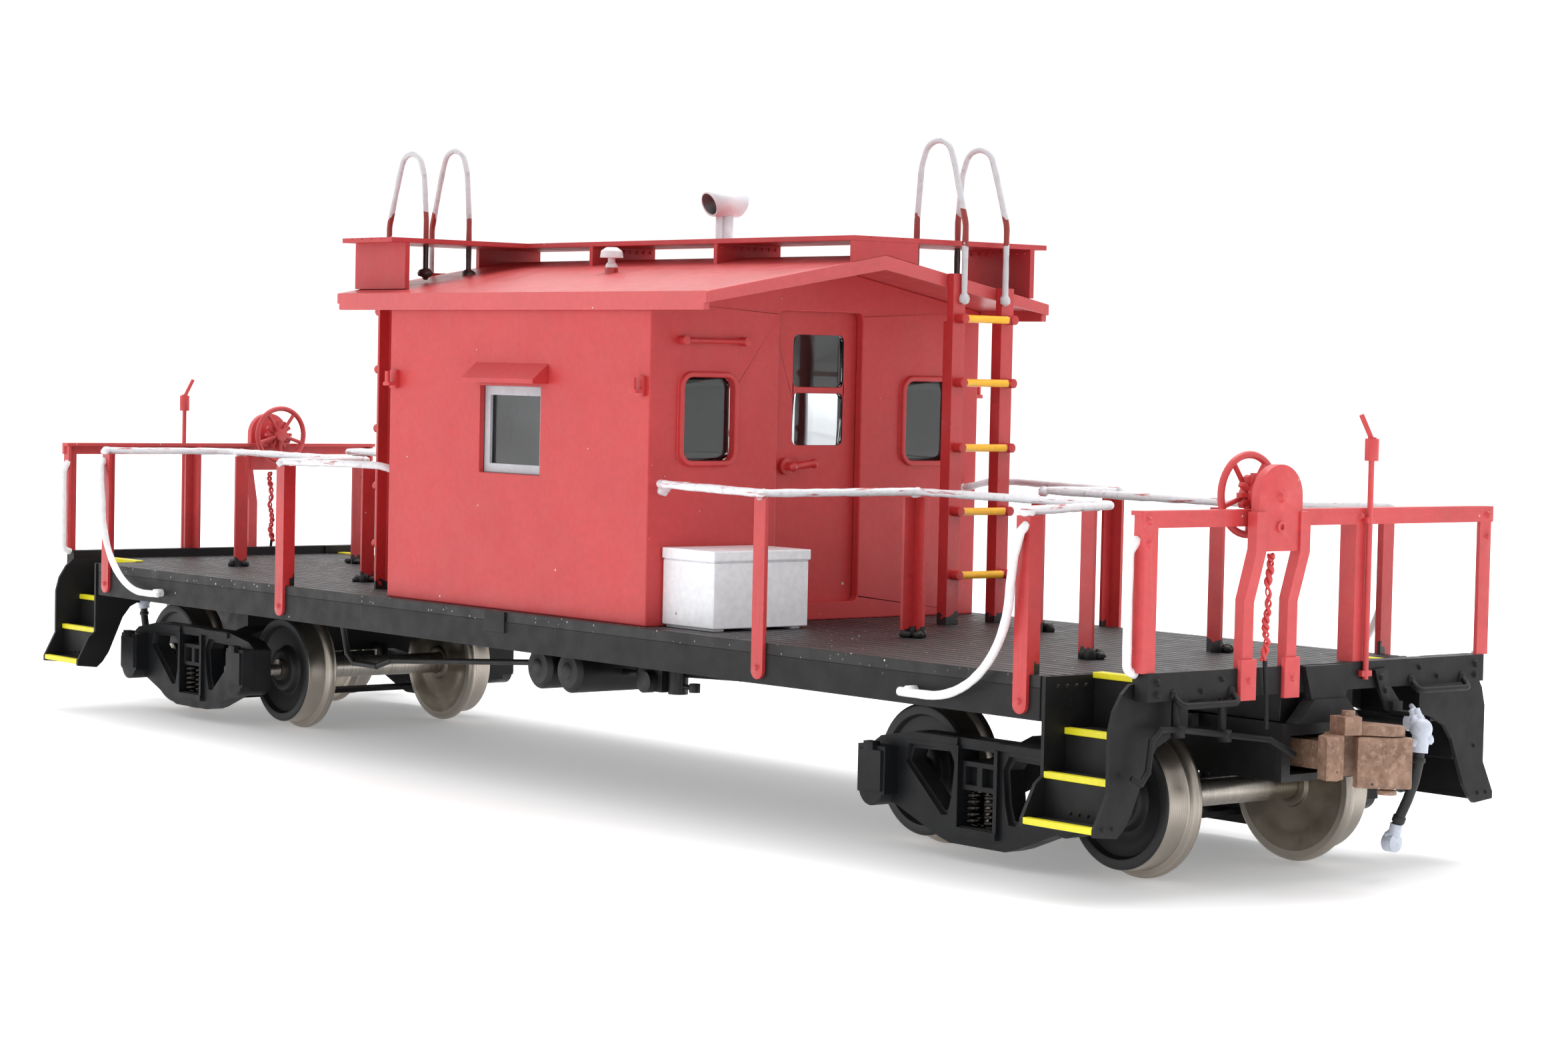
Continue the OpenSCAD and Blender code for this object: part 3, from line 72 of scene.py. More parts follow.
# ---------- material building ----------
class Graph:
    """A material's node tree, with short calls for the nodes used here, in millimetres."""

    def __init__(self, name):
        self.material = bpy.data.materials.new(name)
        self.material.use_nodes = True
        self.tree = self.material.node_tree
        self.tree.nodes.clear()
        out = self.tree.nodes.new("ShaderNodeOutputMaterial")
        self.shader = self.tree.nodes.new("ShaderNodeBsdfPrincipled")
        self.tree.links.new(self.shader.outputs[0], out.inputs[0])
        coords = self.tree.nodes.new("ShaderNodeTexCoord")
        scale = self.tree.nodes.new("ShaderNodeVectorMath")
        scale.operation = "SCALE"
        scale.inputs["Scale"].default_value = 1000.0
        self.tree.links.new(coords.outputs["Object"], scale.inputs[0])
        self.point = scale.outputs[0]
        split = self.tree.nodes.new("ShaderNodeSeparateXYZ")
        self.tree.links.new(self.point, split.inputs[0])
        self.x, self.y, self.z = split.outputs

    def put(self, socket, value):
        if isinstance(value, bpy.types.NodeSocket):
            self.tree.links.new(value, socket)
        elif isinstance(value, (tuple, list)) and len(socket.default_value) == 4:
            socket.default_value = (*value[:3], 1.0)
        else:
            socket.default_value = value

    def math(self, op, a, b=0.0, c=0.0):
        node = self.tree.nodes.new("ShaderNodeMath")
        node.operation = op
        for socket, value in zip(node.inputs, (a, b, c)):
            self.put(socket, value)
        return node.outputs[0]

    def radius(self, a, b):
        squares = self.math("ADD", self.math("MULTIPLY", a, a), self.math("MULTIPLY", b, b))
        return self.math("SQRT", squares)

    def stretched(self, factors):
        node = self.tree.nodes.new("ShaderNodeVectorMath")
        node.operation = "MULTIPLY"
        self.put(node.inputs[0], self.point)
        node.inputs[1].default_value = factors
        return node.outputs[0]

    def noise(self, size, detail=2.0, rough=0.5, stretch=None):
        node = self.tree.nodes.new("ShaderNodeTexNoise")
        self.put(node.inputs["Vector"], self.stretched(stretch) if stretch else self.point)
        node.inputs["Scale"].default_value = 1.0 / size
        node.inputs["Detail"].default_value = detail
        node.inputs["Roughness"].default_value = rough
        return node.outputs["Fac"]

    def cells(self, size):
        node = self.tree.nodes.new("ShaderNodeTexVoronoi")
        self.put(node.inputs["Vector"], self.point)
        node.inputs["Scale"].default_value = 1.0 / size
        return node.outputs["Distance"], node.outputs["Color"]

    def ramp(self, value, low, high, out_low=0.0, out_high=1.0):
        node = self.tree.nodes.new("ShaderNodeMapRange")
        for name, v in zip(
            ("Value", "From Min", "From Max", "To Min", "To Max"),
            (value, low, high, out_low, out_high),
        ):
            self.put(node.inputs[name], v)
        return node.outputs[0]

    def mix(self, factor, a, b, blend="MIX"):
        node = self.tree.nodes.new("ShaderNodeMix")
        node.data_type = "RGBA"
        node.blend_type = blend
        self.put(node.inputs[0], factor)
        self.put(node.inputs[6], a)
        self.put(node.inputs[7], b)
        return node.outputs[2]

    def specks(self, size, share, width):
        """Small round specks, one in each chosen cell of that size; share is how many are chosen."""
        distance, colour = self.cells(size)
        split = self.tree.nodes.new("ShaderNodeSeparateColor")
        self.put(split.inputs[0], colour)
        chosen = self.math("LESS_THAN", split.outputs[0], share)
        near = self.ramp(distance, width, width * 0.6)
        return self.math("MULTIPLY", chosen, near)

    def facing_up(self):
        geometry = self.tree.nodes.new("ShaderNodeNewGeometry")
        split = self.tree.nodes.new("ShaderNodeSeparateXYZ")
        self.put(split.inputs[0], geometry.outputs["Normal"])
        return self.ramp(split.outputs[2], 0.3, 0.9)

    def bump(self, height, strength, depth):
        node = self.tree.nodes.new("ShaderNodeBump")
        node.inputs["Strength"].default_value = strength
        node.inputs["Distance"].default_value = depth * MM
        self.put(node.inputs["Height"], height)
        self.put(self.shader.inputs["Normal"], node.outputs[0])

    def finish(self, colour, rough, metallic=0.0, specular=0.5, coat=0.0):
        self.put(self.shader.inputs["Base Color"], colour)
        self.put(self.shader.inputs["Roughness"], rough)
        self.put(self.shader.inputs["Metallic"], metallic)
        self.shader.inputs["Specular IOR Level"].default_value = specular
        self.shader.inputs["Coat Weight"].default_value = coat
        self.shader.inputs["Coat Roughness"].default_value = 0.25
        return self.material


def srgb(r, g, b):
    """Colour as linear values from 0 to 255 sRGB ones."""
    return tuple(
        (c / 255 / 12.92) if c <= 10 else ((c / 255 + 0.055) / 1.055) ** 2.4 for c in (r, g, b)
    )


def painted(
    name,
    colour,
    rough,
    blotch=0.1,
    grain=0.35,
    grain_depth=0.02,
    dust=0.05,
    top_dust=0.0,
    dust_colour=(0.62, 0.6, 0.58),
    stretch=None,
    extra=None,
    specular=0.5,
    coat=0.0,
    relief=None,
):
    """Paint with blotches, dust and grain; rough is the range of its roughness, sizes are in mm."""
    g = Graph(name)
    broad = g.noise(9.0, 3.0, 0.6)
    shade = g.ramp(broad, 0.3, 0.7, 1.0 - blotch, 1.0 + blotch)
    fine = g.ramp(g.noise(0.5, 2.0), 0.3, 0.7, 0.95, 1.05)
    both = g.math("MULTIPLY", shade, fine)
    grey = g.tree.nodes.new("ShaderNodeCombineColor")
    for socket in grey.inputs:
        g.put(socket, both)
    c = g.mix(1.0, colour, grey.outputs[0], "MULTIPLY")
    if top_dust:
        patches = g.ramp(g.noise(2.2, 4.0, 0.7), 0.35, 0.75, 0.2, 1.0)
        film = g.math("MULTIPLY", g.facing_up(), patches)
        c = g.mix(g.math("MULTIPLY", film, top_dust), c, dust_colour)
    if dust:
        c = g.mix(g.specks(1.1, dust, 0.07), c, dust_colour)
        c = g.mix(g.specks(2.7, dust * 1.6, 0.045), c, dust_colour)
    if extra:
        c = extra(g, c)
    height = g.noise(grain, 2.0, 0.5, stretch)
    if relief:
        height = g.math("ADD", height, relief(g))
    g.bump(height, 0.35, grain_depth)
    r = g.ramp(g.noise(1.6, 3.0), 0.3, 0.7, rough[0], rough[1])
    return g.finish(c, r, 0.0, specular, coat)


def painted_shade_inside_cabin(g, c):
    """Painted shade: dark grey on everything inside the cabin walls, in place of the shade inside the
    closed cabin.
    """
    from_middle = g.math("SUBTRACT", g.x, CAB_SHIFT)
    dx = g.math("ABSOLUTE", from_middle)
    dy = g.math("ABSOLUTE", g.y)
    geometry = g.tree.nodes.new("ShaderNodeNewGeometry")
    split = g.tree.nodes.new("ShaderNodeSeparateXYZ")
    g.put(split.inputs[0], geometry.outputs["Normal"])
    inward = g.math("LESS_THAN", g.math("MULTIPLY", split.outputs[0], from_middle), -0.5)
    reach = g.math("MULTIPLY_ADD", inward, 0.4, CAB_X - 0.85)
    in_width = g.math("LESS_THAN", dy, CAB_Y - 0.45)
    within = g.math("MULTIPLY", g.math("LESS_THAN", dx, reach), in_width)
    return g.mix(within, c, srgb(40, 41, 43))


def black_feet(g, c):
    """Black touch-up paint round the feet of the posts that stand on the deck."""
    low = g.math("ADD", DECK_TOP + 0.55, g.ramp(g.noise(0.8, 3.0), 0.2, 0.8, -0.5, 0.9))
    foot = g.math("LESS_THAN", g.z, low)
    on_deck = g.math("LESS_THAN", g.math("ABSOLUTE", g.y), SILL_Y - 0.4)
    return g.mix(g.math("MULTIPLY", foot, on_deck), c, srgb(38, 38, 40))


def red_through(g, c):
    """Red undercoat showing in thin streaks along the top of the silver rails."""
    streaks = g.ramp(g.noise(1.0, 3.0, 0.6, (0.35, 0.35, 4.0)), 0.6, 0.68)
    grime = g.ramp(g.noise(0.7, 3.0, 0.7), 0.58, 0.75, 0.0, 0.45)
    c = g.mix(grime, c, srgb(120, 118, 120))
    return g.mix(g.math("MULTIPLY", streaks, 0.85), c, srgb(176, 44, 44))


def arch_bands(g, c):
    """A red band where each arch passes the roof walk, and dark legs below it on the roof side."""
    wander = g.ramp(g.noise(1.2, 2.0), 0.2, 0.8, -0.6, 0.9)
    level = g.math("ADD", g.z, wander)
    above_walk = g.math("GREATER_THAN", level, WALK_Z + 0.1)
    band = g.math("MULTIPLY", above_walk, g.math("LESS_THAN", level, WALK_Z + 2.4))
    thin = g.ramp(g.noise(0.9, 3.0, 0.7), 0.55, 0.7, 0.0, 0.5)
    c = g.mix(thin, c, srgb(150, 140, 142))
    inner = g.math("LESS_THAN", g.math("ABSOLUTE", g.math("SUBTRACT", g.x, CAB_SHIFT)), 24.0)
    below = g.math("LESS_THAN", g.z, WALK_Z - 0.3)
    c = g.mix(g.math("MULTIPLY", inner, below), c, srgb(62, 50, 50))
    return g.mix(band, c, srgb(142, 48, 42))


def painted_bore_shade(g, c):
    """Painted shade: dark grey inside the smokejack's cross pipe, where shadow falls in its bore."""
    r = g.radius(g.math("SUBTRACT", g.x, JACK_X), g.math("SUBTRACT", g.z, JACK_Z))
    return g.mix(g.math("LESS_THAN", r, JACK_BORE_R + 0.03), c, srgb(96, 90, 92))


def red_rung_ends(g, c):
    """Red paint over the ends and bolt heads of the rungs."""
    d = g.math("ABSOLUTE", g.math("SUBTRACT", g.math("ABSOLUTE", g.y), LADDER_Y))
    wander = g.ramp(g.noise(0.5, 2.0), 0.2, 0.8, -0.15, 0.15)
    beyond = g.math("GREATER_THAN", g.math("ADD", d, wander), RUNG_HALF)
    return g.mix(beyond, c, srgb(186, 44, 44))


def red_flange(g, c):
    """Red paint on the flange under the roof vent."""
    return g.mix(g.math("LESS_THAN", g.z, VENT_FLANGE_Z), c, srgb(170, 40, 40))


def plank_edge(g):
    """Distance from the nearest gap between two deck planks, in plank widths."""
    turned = g.math("ADD", g.math("DIVIDE", g.y, PLANK_WIDTH), 0.5)
    return g.math("ABSOLUTE", g.math("SUBTRACT", g.math("FRACT", turned), 0.5))


def plank_relief(g):
    """Rounded plank edges, as a height."""
    return g.ramp(plank_edge(g), 0.0, 0.3, 0.0, 3.2)


def plank_tones_and_gap_shade(g, c):
    """Each deck plank a little lighter or darker, with pale grit lying on it, and painted shade in the
    gaps between planks.
    """
    index = g.math("FLOOR", g.math("DIVIDE", g.y, PLANK_WIDTH))
    white = g.tree.nodes.new("ShaderNodeTexWhiteNoise")
    white.noise_dimensions = "1D"
    g.put(white.inputs["W"], index)
    c = g.mix(g.ramp(white.outputs["Value"], 0.0, 1.0, 0.0, 0.3), c, srgb(66, 64, 64))
    # painted shade: near-black in the gaps between the planks
    c = g.mix(g.math("LESS_THAN", plank_edge(g), 0.11), c, srgb(7, 7, 7))
    near_end = g.ramp(g.x, 20.0, 50.0, 1.0, 0.25)
    grit = g.math("MULTIPLY", g.specks(0.42, 0.3, 0.2), near_end)
    c = g.mix(g.math("MULTIPLY", grit, 0.6), c, (0.6, 0.59, 0.58))
    return g.mix(g.specks(0.9, 0.16, 0.1), c, (0.8, 0.79, 0.78))


M_CABIN = painted(
    "cabin_red", srgb(194, 57, 59), rough=(0.38, 0.52), blotch=0.05, dust=0.05, extra=painted_shade_inside_cabin,
    grain=0.5, grain_depth=0.012,
)
M_ROOF = painted("roof_red", srgb(200, 78, 80), rough=(0.3, 0.42), blotch=0.06, dust=0.08)
M_WALK = painted(
    "walk_red", srgb(182, 50, 54), rough=(0.42, 0.55), blotch=0.1, dust=0.06, grain_depth=0.03,
)
M_RAIL = painted(
    "rail_red", srgb(188, 50, 52), rough=(0.25, 0.45), blotch=0.16, dust=0.03, grain=0.7,
    grain_depth=0.09, stretch=(1.0, 1.0, 0.3), extra=black_feet, coat=0.2,
)
M_GEAR = painted(
    "gear_red", srgb(201, 68, 70), rough=(0.3, 0.48), blotch=0.12, grain=0.6, grain_depth=0.07,
)
M_BLACK = painted(
    "frame_black", srgb(27, 27, 29), rough=(0.42, 0.58), blotch=0.2, dust=0.04, top_dust=0.08,
    grain_depth=0.03, specular=0.25,
)
M_DECK = painted(
    "deck_black", srgb(30, 30, 31), rough=(0.42, 0.6), blotch=0.2, dust=0.08, top_dust=0.05,
    grain=0.3, grain_depth=0.05, stretch=(0.25, 1.6, 1.0), extra=plank_tones_and_gap_shade,
    relief=plank_relief,
)
M_UNDER = painted(
    "under_black", srgb(18, 18, 19), rough=(0.4, 0.6), blotch=0.25, dust=0.03, grain_depth=0.05,
)
M_TRUCK = painted(
    "truck_black", srgb(26, 27, 29), rough=(0.36, 0.52), blotch=0.18, dust=0.03, top_dust=0.05,
    specular=0.2,
)
M_SILVER = painted(
    "rail_silver", srgb(226, 227, 231), rough=(0.22, 0.45), blotch=0.06, dust=0.0, grain=0.8,
    grain_depth=0.07, extra=red_through, coat=0.2,
)
M_WHITE = painted(
    "grab_white", srgb(238, 238, 240), rough=(0.25, 0.42), blotch=0.05, dust=0.0, grain=0.9,
    grain_depth=0.05,
)
M_ARCH = painted(
    "arch_silver", srgb(198, 197, 201), rough=(0.25, 0.45), blotch=0.06, dust=0.0,
    extra=arch_bands, grain_depth=0.05,
)
M_BOX = painted(
    "box_silver", srgb(240, 242, 246), rough=(0.4, 0.6), blotch=0.05, dust=0.05, grain=0.25,
    grain_depth=0.03, dust_colour=(0.25, 0.22, 0.2),
)
M_SASH = painted(
    "sash_silver", srgb(186, 188, 194), rough=(0.25, 0.45), blotch=0.15, dust=0.0, grain=0.25,
    grain_depth=0.04,
)
M_YELLOW = painted(
    "nosing_yellow", srgb(232, 222, 40), rough=(0.3, 0.5), blotch=0.1, dust=0.03, grain=0.4,
    grain_depth=0.06,
)
M_COCK = painted(
    "cock_silver", srgb(196, 204, 218), rough=(0.2, 0.4), blotch=0.2, dust=0.0, grain=0.28,
    grain_depth=0.16, coat=0.3,
)
M_HOSE = painted(
    "hose_rubber", srgb(28, 28, 30), rough=(0.45, 0.6), blotch=0.1, dust=0.02, grain=0.2,
    grain_depth=0.04,
)
M_JACK = painted(
    "jack_silver", srgb(226, 227, 232), rough=(0.3, 0.45), blotch=0.05, dust=0.0, grain=0.4,
    grain_depth=0.02, extra=painted_bore_shade,
)


def rust_material():
    """Brown weathering on the couplers."""
    g = Graph("coupler_rust")
    a = g.mix(g.ramp(g.noise(1.4, 4.0, 0.7), 0.35, 0.65), srgb(160, 128, 108), srgb(118, 88, 70))
    c = g.mix(g.ramp(g.noise(0.5, 3.0, 0.7), 0.5, 0.75, 0.0, 0.8), a, srgb(186, 156, 136))
    c = g.mix(g.specks(0.8, 0.12, 0.16), c, srgb(48, 36, 30))
    g.bump(g.noise(0.3, 3.0, 0.6), 0.4, 0.06)
    return g.finish(c, g.ramp(g.noise(0.8), 0.3, 0.7, 0.45, 0.7))


def wheel_material():
    """Black outer face, bright turned tread and brown turned back, told apart by place on the wheel."""
    g = Graph("wheel_metal")
    ax = g.math("ABSOLUTE", g.x)
    d = g.math("SUBTRACT", g.math("ABSOLUTE", g.math("SUBTRACT", ax, TRUCK_X)), AXLE_X)
    dz = g.math("SUBTRACT", g.z, AXLE_Z)
    r = g.radius(d, dz)
    ay = g.math("ABSOLUTE", g.y)
    rings = g.math("SINE", g.math("MULTIPLY", g.math("ADD", r, g.math("MULTIPLY", ay, 0.7)), 60.0))
    tread = g.mix(g.ramp(rings, -1, 1, 0.0, 0.35), srgb(176, 168, 158), srgb(126, 118, 110))
    back = g.mix(g.ramp(g.noise(2.4, 2.0, 0.5), 0.3, 0.7), srgb(150, 142, 128), srgb(126, 118, 104))
    back = g.mix(g.ramp(rings, -1, 1, 0.0, 0.3), back, srgb(70, 62, 54))
    in_face = g.math("LESS_THAN", r, WHEEL_RIM_R + 0.02)
    outer = g.math("MULTIPLY", g.math("GREATER_THAN", ay, WHEEL_FACE_Y), in_face)
    rim = g.math("GREATER_THAN", r, WHEEL_RIM_R)
    c = g.mix(rim, back, tread)
    c = g.mix(outer, c, srgb(25, 26, 28))
    height = g.math("ADD", g.math("MULTIPLY", rings, 0.5), g.math("MULTIPLY", g.noise(0.8, 2.0), 0.3))
    g.bump(height, 0.1, 0.012)
    base = g.ramp(g.noise(0.9, 3.0), 0.3, 0.7, 0.3, 0.42)
    rough = g.ramp(outer, 0.0, 1.0, base, 0.5)
    return g.finish(c, rough, g.ramp(outer, 0.0, 1.0, 1.0, 0.0))


def turned_metal(name, colour, dark, rough):
    """Metal turned on a lathe along Y, in two tones; rough is the range of its roughness."""
    g = Graph(name)
    rings = g.noise(0.25, 2.0, 0.5, (0.05, 4.0, 0.05))
    c = g.mix(g.ramp(rings, 0.35, 0.65), colour, dark)
    c = g.mix(g.ramp(g.noise(1.8, 3.0), 0.55, 0.8, 0.0, 0.5), c, dark)
    g.bump(rings, 0.15, 0.02)
    return g.finish(c, g.ramp(g.noise(1.0, 3.0), 0.3, 0.7, *rough), 1.0)


def glass_material():
    """Clear window glass with a few pale specks."""
    g = Graph("window_glass")
    c = g.mix(g.specks(0.9, 0.12, 0.05), srgb(235, 238, 240), srgb(252, 252, 252))
    g.bump(g.noise(3.0, 1.0), 0.1, 0.02)
    g.shader.inputs["Transmission Weight"].default_value = 1.0
    g.shader.inputs["IOR"].default_value = 1.46
    return g.finish(c, g.ramp(g.noise(4.0, 2.0), 0.3, 0.7, 0.02, 0.06), 0.0, 0.2)


M_RUNG = painted(
    "rung_yellow", srgb(250, 186, 22), rough=(0.3, 0.48), blotch=0.08, dust=0.0, grain=0.5,
    grain_depth=0.05, extra=red_rung_ends,
)
M_VENT = painted(
    "vent_silver", srgb(214, 214, 218), rough=(0.12, 0.25), blotch=0.1, dust=0.0, grain=0.6,
    grain_depth=0.06, coat=0.4, extra=red_flange,
)
M_RUST = rust_material()
M_WHEEL = wheel_material()
M_AXLE = turned_metal("axle_metal", srgb(206, 200, 190), srgb(168, 162, 154), (0.25, 0.4))
M_SPRING = turned_metal("spring_steel", srgb(70, 66, 62), srgb(34, 33, 33), (0.25, 0.4))
M_STEEL = turned_metal("pin_steel", srgb(150, 150, 152), srgb(96, 96, 98), (0.3, 0.45))
M_GLASS = glass_material()

# node: material, and bevel width in mm (0 = none)
LOOKS = {
    "deck": (M_DECK, 0.03),
    "side_sills": (M_BLACK, 0.08),
    "center_sill": (M_UNDER, 0.06),
    "end_beams": (M_BLACK, 0.07),
    "step_wells": (M_BLACK, 0.05),
    "step_treads": (M_BLACK, 0.04),
    "step_nosings": (M_YELLOW, 0.06),
    "cabin_walls": (M_CABIN, 0.1),
    "end_doors": (M_CABIN, 0.06),
    "door_knobs": (M_RAIL, 0.05),
    "window_glass": (M_GLASS, 0.0),
    "window_frames": (M_SASH, 0.05),
    "window_awnings": (M_CABIN, 0.06),
    "wall_fittings": (M_CABIN, 0.06),
    "roof": (M_ROOF, 0.09),
    "roof_walk": (M_WALK, 0.04),
    "walk_supports": (M_WALK, 0.05),
    "smokejack": (M_JACK, 0.05),
    "roof_vent": (M_VENT, 0.08),
    "ladder_stiles": (M_RAIL, 0.05),
    "ladder_rungs": (M_RUNG, 0.06),
    "tool_boxes": (M_BOX, 0.1),
    "rail_posts": (M_RAIL, 0.07),
    "end_rails": (M_GEAR, 0.07),
    "brake_stands": (M_GEAR, 0.09),
    "brake_wheels": (M_GEAR, 0.05),
    "brake_chains": (M_GEAR, 0.0),
    "backup_valves": (M_GEAR, 0.06),
    "hose_brackets": (M_BLACK, 0.05),
    "hose_fittings": (M_COCK, 0.08),
    "air_reservoirs": (M_UNDER, 0.06),
    "brake_cylinder": (M_UNDER, 0.06),
    "control_valve": (M_UNDER, 0.07),
    "brake_pipes": (M_UNDER, 0.0),
    "brake_rods": (M_UNDER, 0.05),
    "uncoupling_levers": (M_BLACK, 0.0),
    "draft_boxes": (M_UNDER, 0.08),
    "kingpins": (M_STEEL, 0.08),
    "coupler_a": (M_RUST, 0.1),
    "coupler_b": (M_RUST, 0.1),
    "knuckle_a": (M_RUST, 0.12),
    "knuckle_b": (M_RUST, 0.12),
    "bolster_a": (M_TRUCK, 0.08),
    "bolster_b": (M_TRUCK, 0.08),
    "sideframes_a": (M_TRUCK, 0.1),
    "sideframes_b": (M_TRUCK, 0.1),
    "wheels_a1": (M_WHEEL, 0.05),
    "wheels_a2": (M_WHEEL, 0.05),
    "wheels_b1": (M_WHEEL, 0.05),
    "wheels_b2": (M_WHEEL, 0.05),
    "axle_a1": (M_AXLE, 0.05),
    "axle_a2": (M_AXLE, 0.05),
    "axle_b1": (M_AXLE, 0.05),
    "axle_b2": (M_AXLE, 0.05),
    "side_handrails": (M_SILVER, 0.0),
    "grab_irons": (M_WHITE, 0.0),
    "ladder_arches": (M_ARCH, 0.0),
    "air_hoses": (M_HOSE, 0.0),
    "springs_a": (M_SPRING, 0.0),
    "springs_b": (M_SPRING, 0.0),
}

# nodes with flat faces only, shaded flat
FLAT = {
    "cabin_walls", "end_doors", "roof", "roof_walk", "walk_supports", "tool_boxes", "deck",
    "side_sills", "end_beams", "window_awnings", "step_wells", "window_frames",
}


def soften(obj, bevel, smooth):
    """Rounds the hard edges of a shown CAD node with modifiers, and sets how it is shaded."""
    stored = obj.data.attributes.get("custom_normal")
    if stored:
        obj.data.attributes.remove(stored)
    for polygon in obj.data.polygons:
        polygon.use_smooth = smooth
    weld = obj.modifiers.new("weld", "WELD")
    weld.merge_threshold = 0.001 * MM
    if bevel:
        mod = obj.modifiers.new("edges", "BEVEL")
        mod.width = bevel * MM
        mod.segments = 2
        mod.limit_method = "ANGLE"
        mod.angle_limit = math.radians(38)
        mod.use_clamp_overlap = True
    if smooth:
        normals = obj.modifiers.new("normals", "WEIGHTED_NORMAL")
        normals.weight = 60
        normals.keep_sharp = False


for node_name, (material, bevel) in LOOKS.items():
    cad = NODES[node_name]
    cad.data.materials.clear()
    cad.data.materials.append(material)
    soften(cad, bevel, node_name not in FLAT)


# ---------- mesh building ----------
FILLET_STEPS = 6


def fillet(points, radius):
    """The polyline with each corner rounded by an arc-like curve."""
    pts = [Vector(p) for p in points]
    out = [pts[0]]
    for i in range(1, len(pts) - 1):
        a, b, c = pts[i - 1], pts[i], pts[i + 1]
        u, v = a - b, c - b
        turn = math.pi - u.angle(v)
        cut = min(radius * math.tan(turn / 2), u.length * 0.48, v.length * 0.48)
        p, q = b + u.normalized() * cut, b + v.normalized() * cut
        for t in (k / FILLET_STEPS for k in range(FILLET_STEPS + 1)):
            out.append(p * (1 - t) ** 2 + b * 2 * t * (1 - t) + q * t * t)
    out.append(pts[-1])
    return out


def resample(points, step):
    """Points along the polyline at most that far apart."""
    out = [points[0]]
    for a, b in zip(points, points[1:]):
        n = max(1, math.ceil((b - a).length / step))
        out += [a.lerp(b, k / n) for k in range(1, n + 1)]
    return out


def skin(bm, rows):
    """Closed skin over rings of vertices, with a flat cap at each end."""
    for a, b in zip(rows, rows[1:]):
        for k in range(len(a)):
            after = (k + 1) % len(a)
            bm.faces.new((a[k], a[after], b[after], b[k]))
    bm.faces.new(reversed(rows[0]))
    bm.faces.new(rows[-1])


def sweep(bm, points, radius, sides, lumps=0.0, seed=0.0, round_ends=True):
    """A round bar with closed ends along the points, in millimetres; lumps is its unevenness."""
    pts = [points[0]]
    for p in points[1:]:
        if (p - pts[-1]).length > 1e-4:
            pts.append(p)
    n = len(pts)
    tangents = [(pts[min(i + 1, n - 1)] - pts[max(i - 1, 0)]).normalized() for i in range(n)]
    up = tangents[0].orthogonal().normalized()
    rings = []
    for p, t in zip(pts, tangents):
        up = (up - t * up.dot(t)).normalized()
        r = radius
        if lumps:
            r *= 1 + lumps * noise.noise(p * 0.9 + Vector((seed, 0, 0)))
        rings.append((p, t, up, t.cross(up), r))
    if round_ends:
        p, t, u, s, r = rings[0]
        rings.insert(0, (p - t * r * 0.35, t, u, s, r * 0.55))
        p, t, u, s, r = rings[-1]
        rings.append((p + t * r * 0.35, t, u, s, r * 0.55))
    rows = []
    for p, t, u, s, r in rings:
        turns = [2 * math.pi * k / sides for k in range(sides)]
        rows.append([bm.verts.new((p + (u * math.cos(a) + s * math.sin(a)) * r) * MM) for a in turns])
    skin(bm, rows)


def blob(bm, centre, size, seed, rough):
    """A small lump of paint: an uneven ball squashed to that size."""
    made = bmesh.ops.create_icosphere(bm, subdivisions=2, radius=1.0)
    for v in made["verts"]:
        d = v.co.normalized()
        k = 1 + rough * noise.noise(d * 1.7 + Vector((seed * 3.1, 0, 0)))
        v.co = (Vector(centre) + Vector((d.x * size[0], d.y * size[1], d.z * size[2])) * k) * MM


def piece(name, bm, material, body, replaces=()):
    """A smooth shaded visible piece made of the built mesh, which is freed."""
    bmesh.ops.recalc_face_normals(bm, faces=bm.faces)
    mesh = bpy.data.meshes.new(name)
    bm.to_mesh(mesh)
    bm.free()
    for polygon in mesh.polygons:
        polygon.use_smooth = True
    mesh.materials.append(material)
    obj = bpy.data.objects.new(name, mesh)
    bpy.context.scene.collection.objects.link(obj)
    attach(obj, body)
    if replaces:
        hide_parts(*replaces)


# ---------- handrails ----------
def rail_run(end, side):
    """One silver rail, from a hook at the cabin wall past its four posts; end is +1 for the +X end."""
    inner = POSTS_CAB[1] if side * end < 0 else POSTS_CAB[2]
    outer = POSTS_END[0] if side * end < 0 else POSTS_END[1]
    shift = CAB_SHIFT * end
    wall_x = CAB_X + shift
    y_out = SILL_Y + 0.12
    pts = [
        (wall_x - 0.3, 15.5, RAIL_Z - 0.55),
        (wall_x + 0.9, 15.6, RAIL_Z - 0.35),
        (wall_x + 1.5, 16.9, RAIL_Z + 0.05),
        (wall_x + 3.6, y_out, RAIL_Z + 0.1),
        (POSTS_CAB[0][0] + shift, y_out, RAIL_Z - 0.1),
        (inner[0] + shift + 0.1, inner[1], RAIL_Z),
        (outer[0] + 1.4, outer[1], RAIL_Z - 0.05),
        (outer[0] + 2.4, outer[1] + 0.9, RAIL_Z - 0.05),
        (POST_SILL + 0.2, y_out, RAIL_Z - 0.1),
    ]
    return [(end * x, side * y, z) for x, y, z in pts]


RAIL_R = 0.3
bm = bmesh.new()
bumps = bmesh.new()
for i, (end, side) in enumerate(CORNERS):
    run = rail_run(end, side)
    sweep(bm, resample(fillet(run, 1.0), 0.35), RAIL_R, 12, lumps=0.16, seed=i * 7.7)
    # a lump of paint over each post, then one at the hook
    for k, j in enumerate((4, 5, 6, 8)):
        x, y, z = run[j]
        if j == 6:
            x = end * POSTS_END[0][0]
        blob(bumps, (x, y, z - 0.08), (0.5, 0.45, 0.4), i * 5 + k, 0.5)
    x, y, z = run[0]
    blob(bumps, (x + end * 0.35, y, z), (0.28, 0.48, 0.42), i + 40, 0.4)
piece("rail_wires", bm, M_SILVER, "car_body", ["side_handrails"])
piece("rail_joint_paint", bumps, M_SILVER, "car_body")

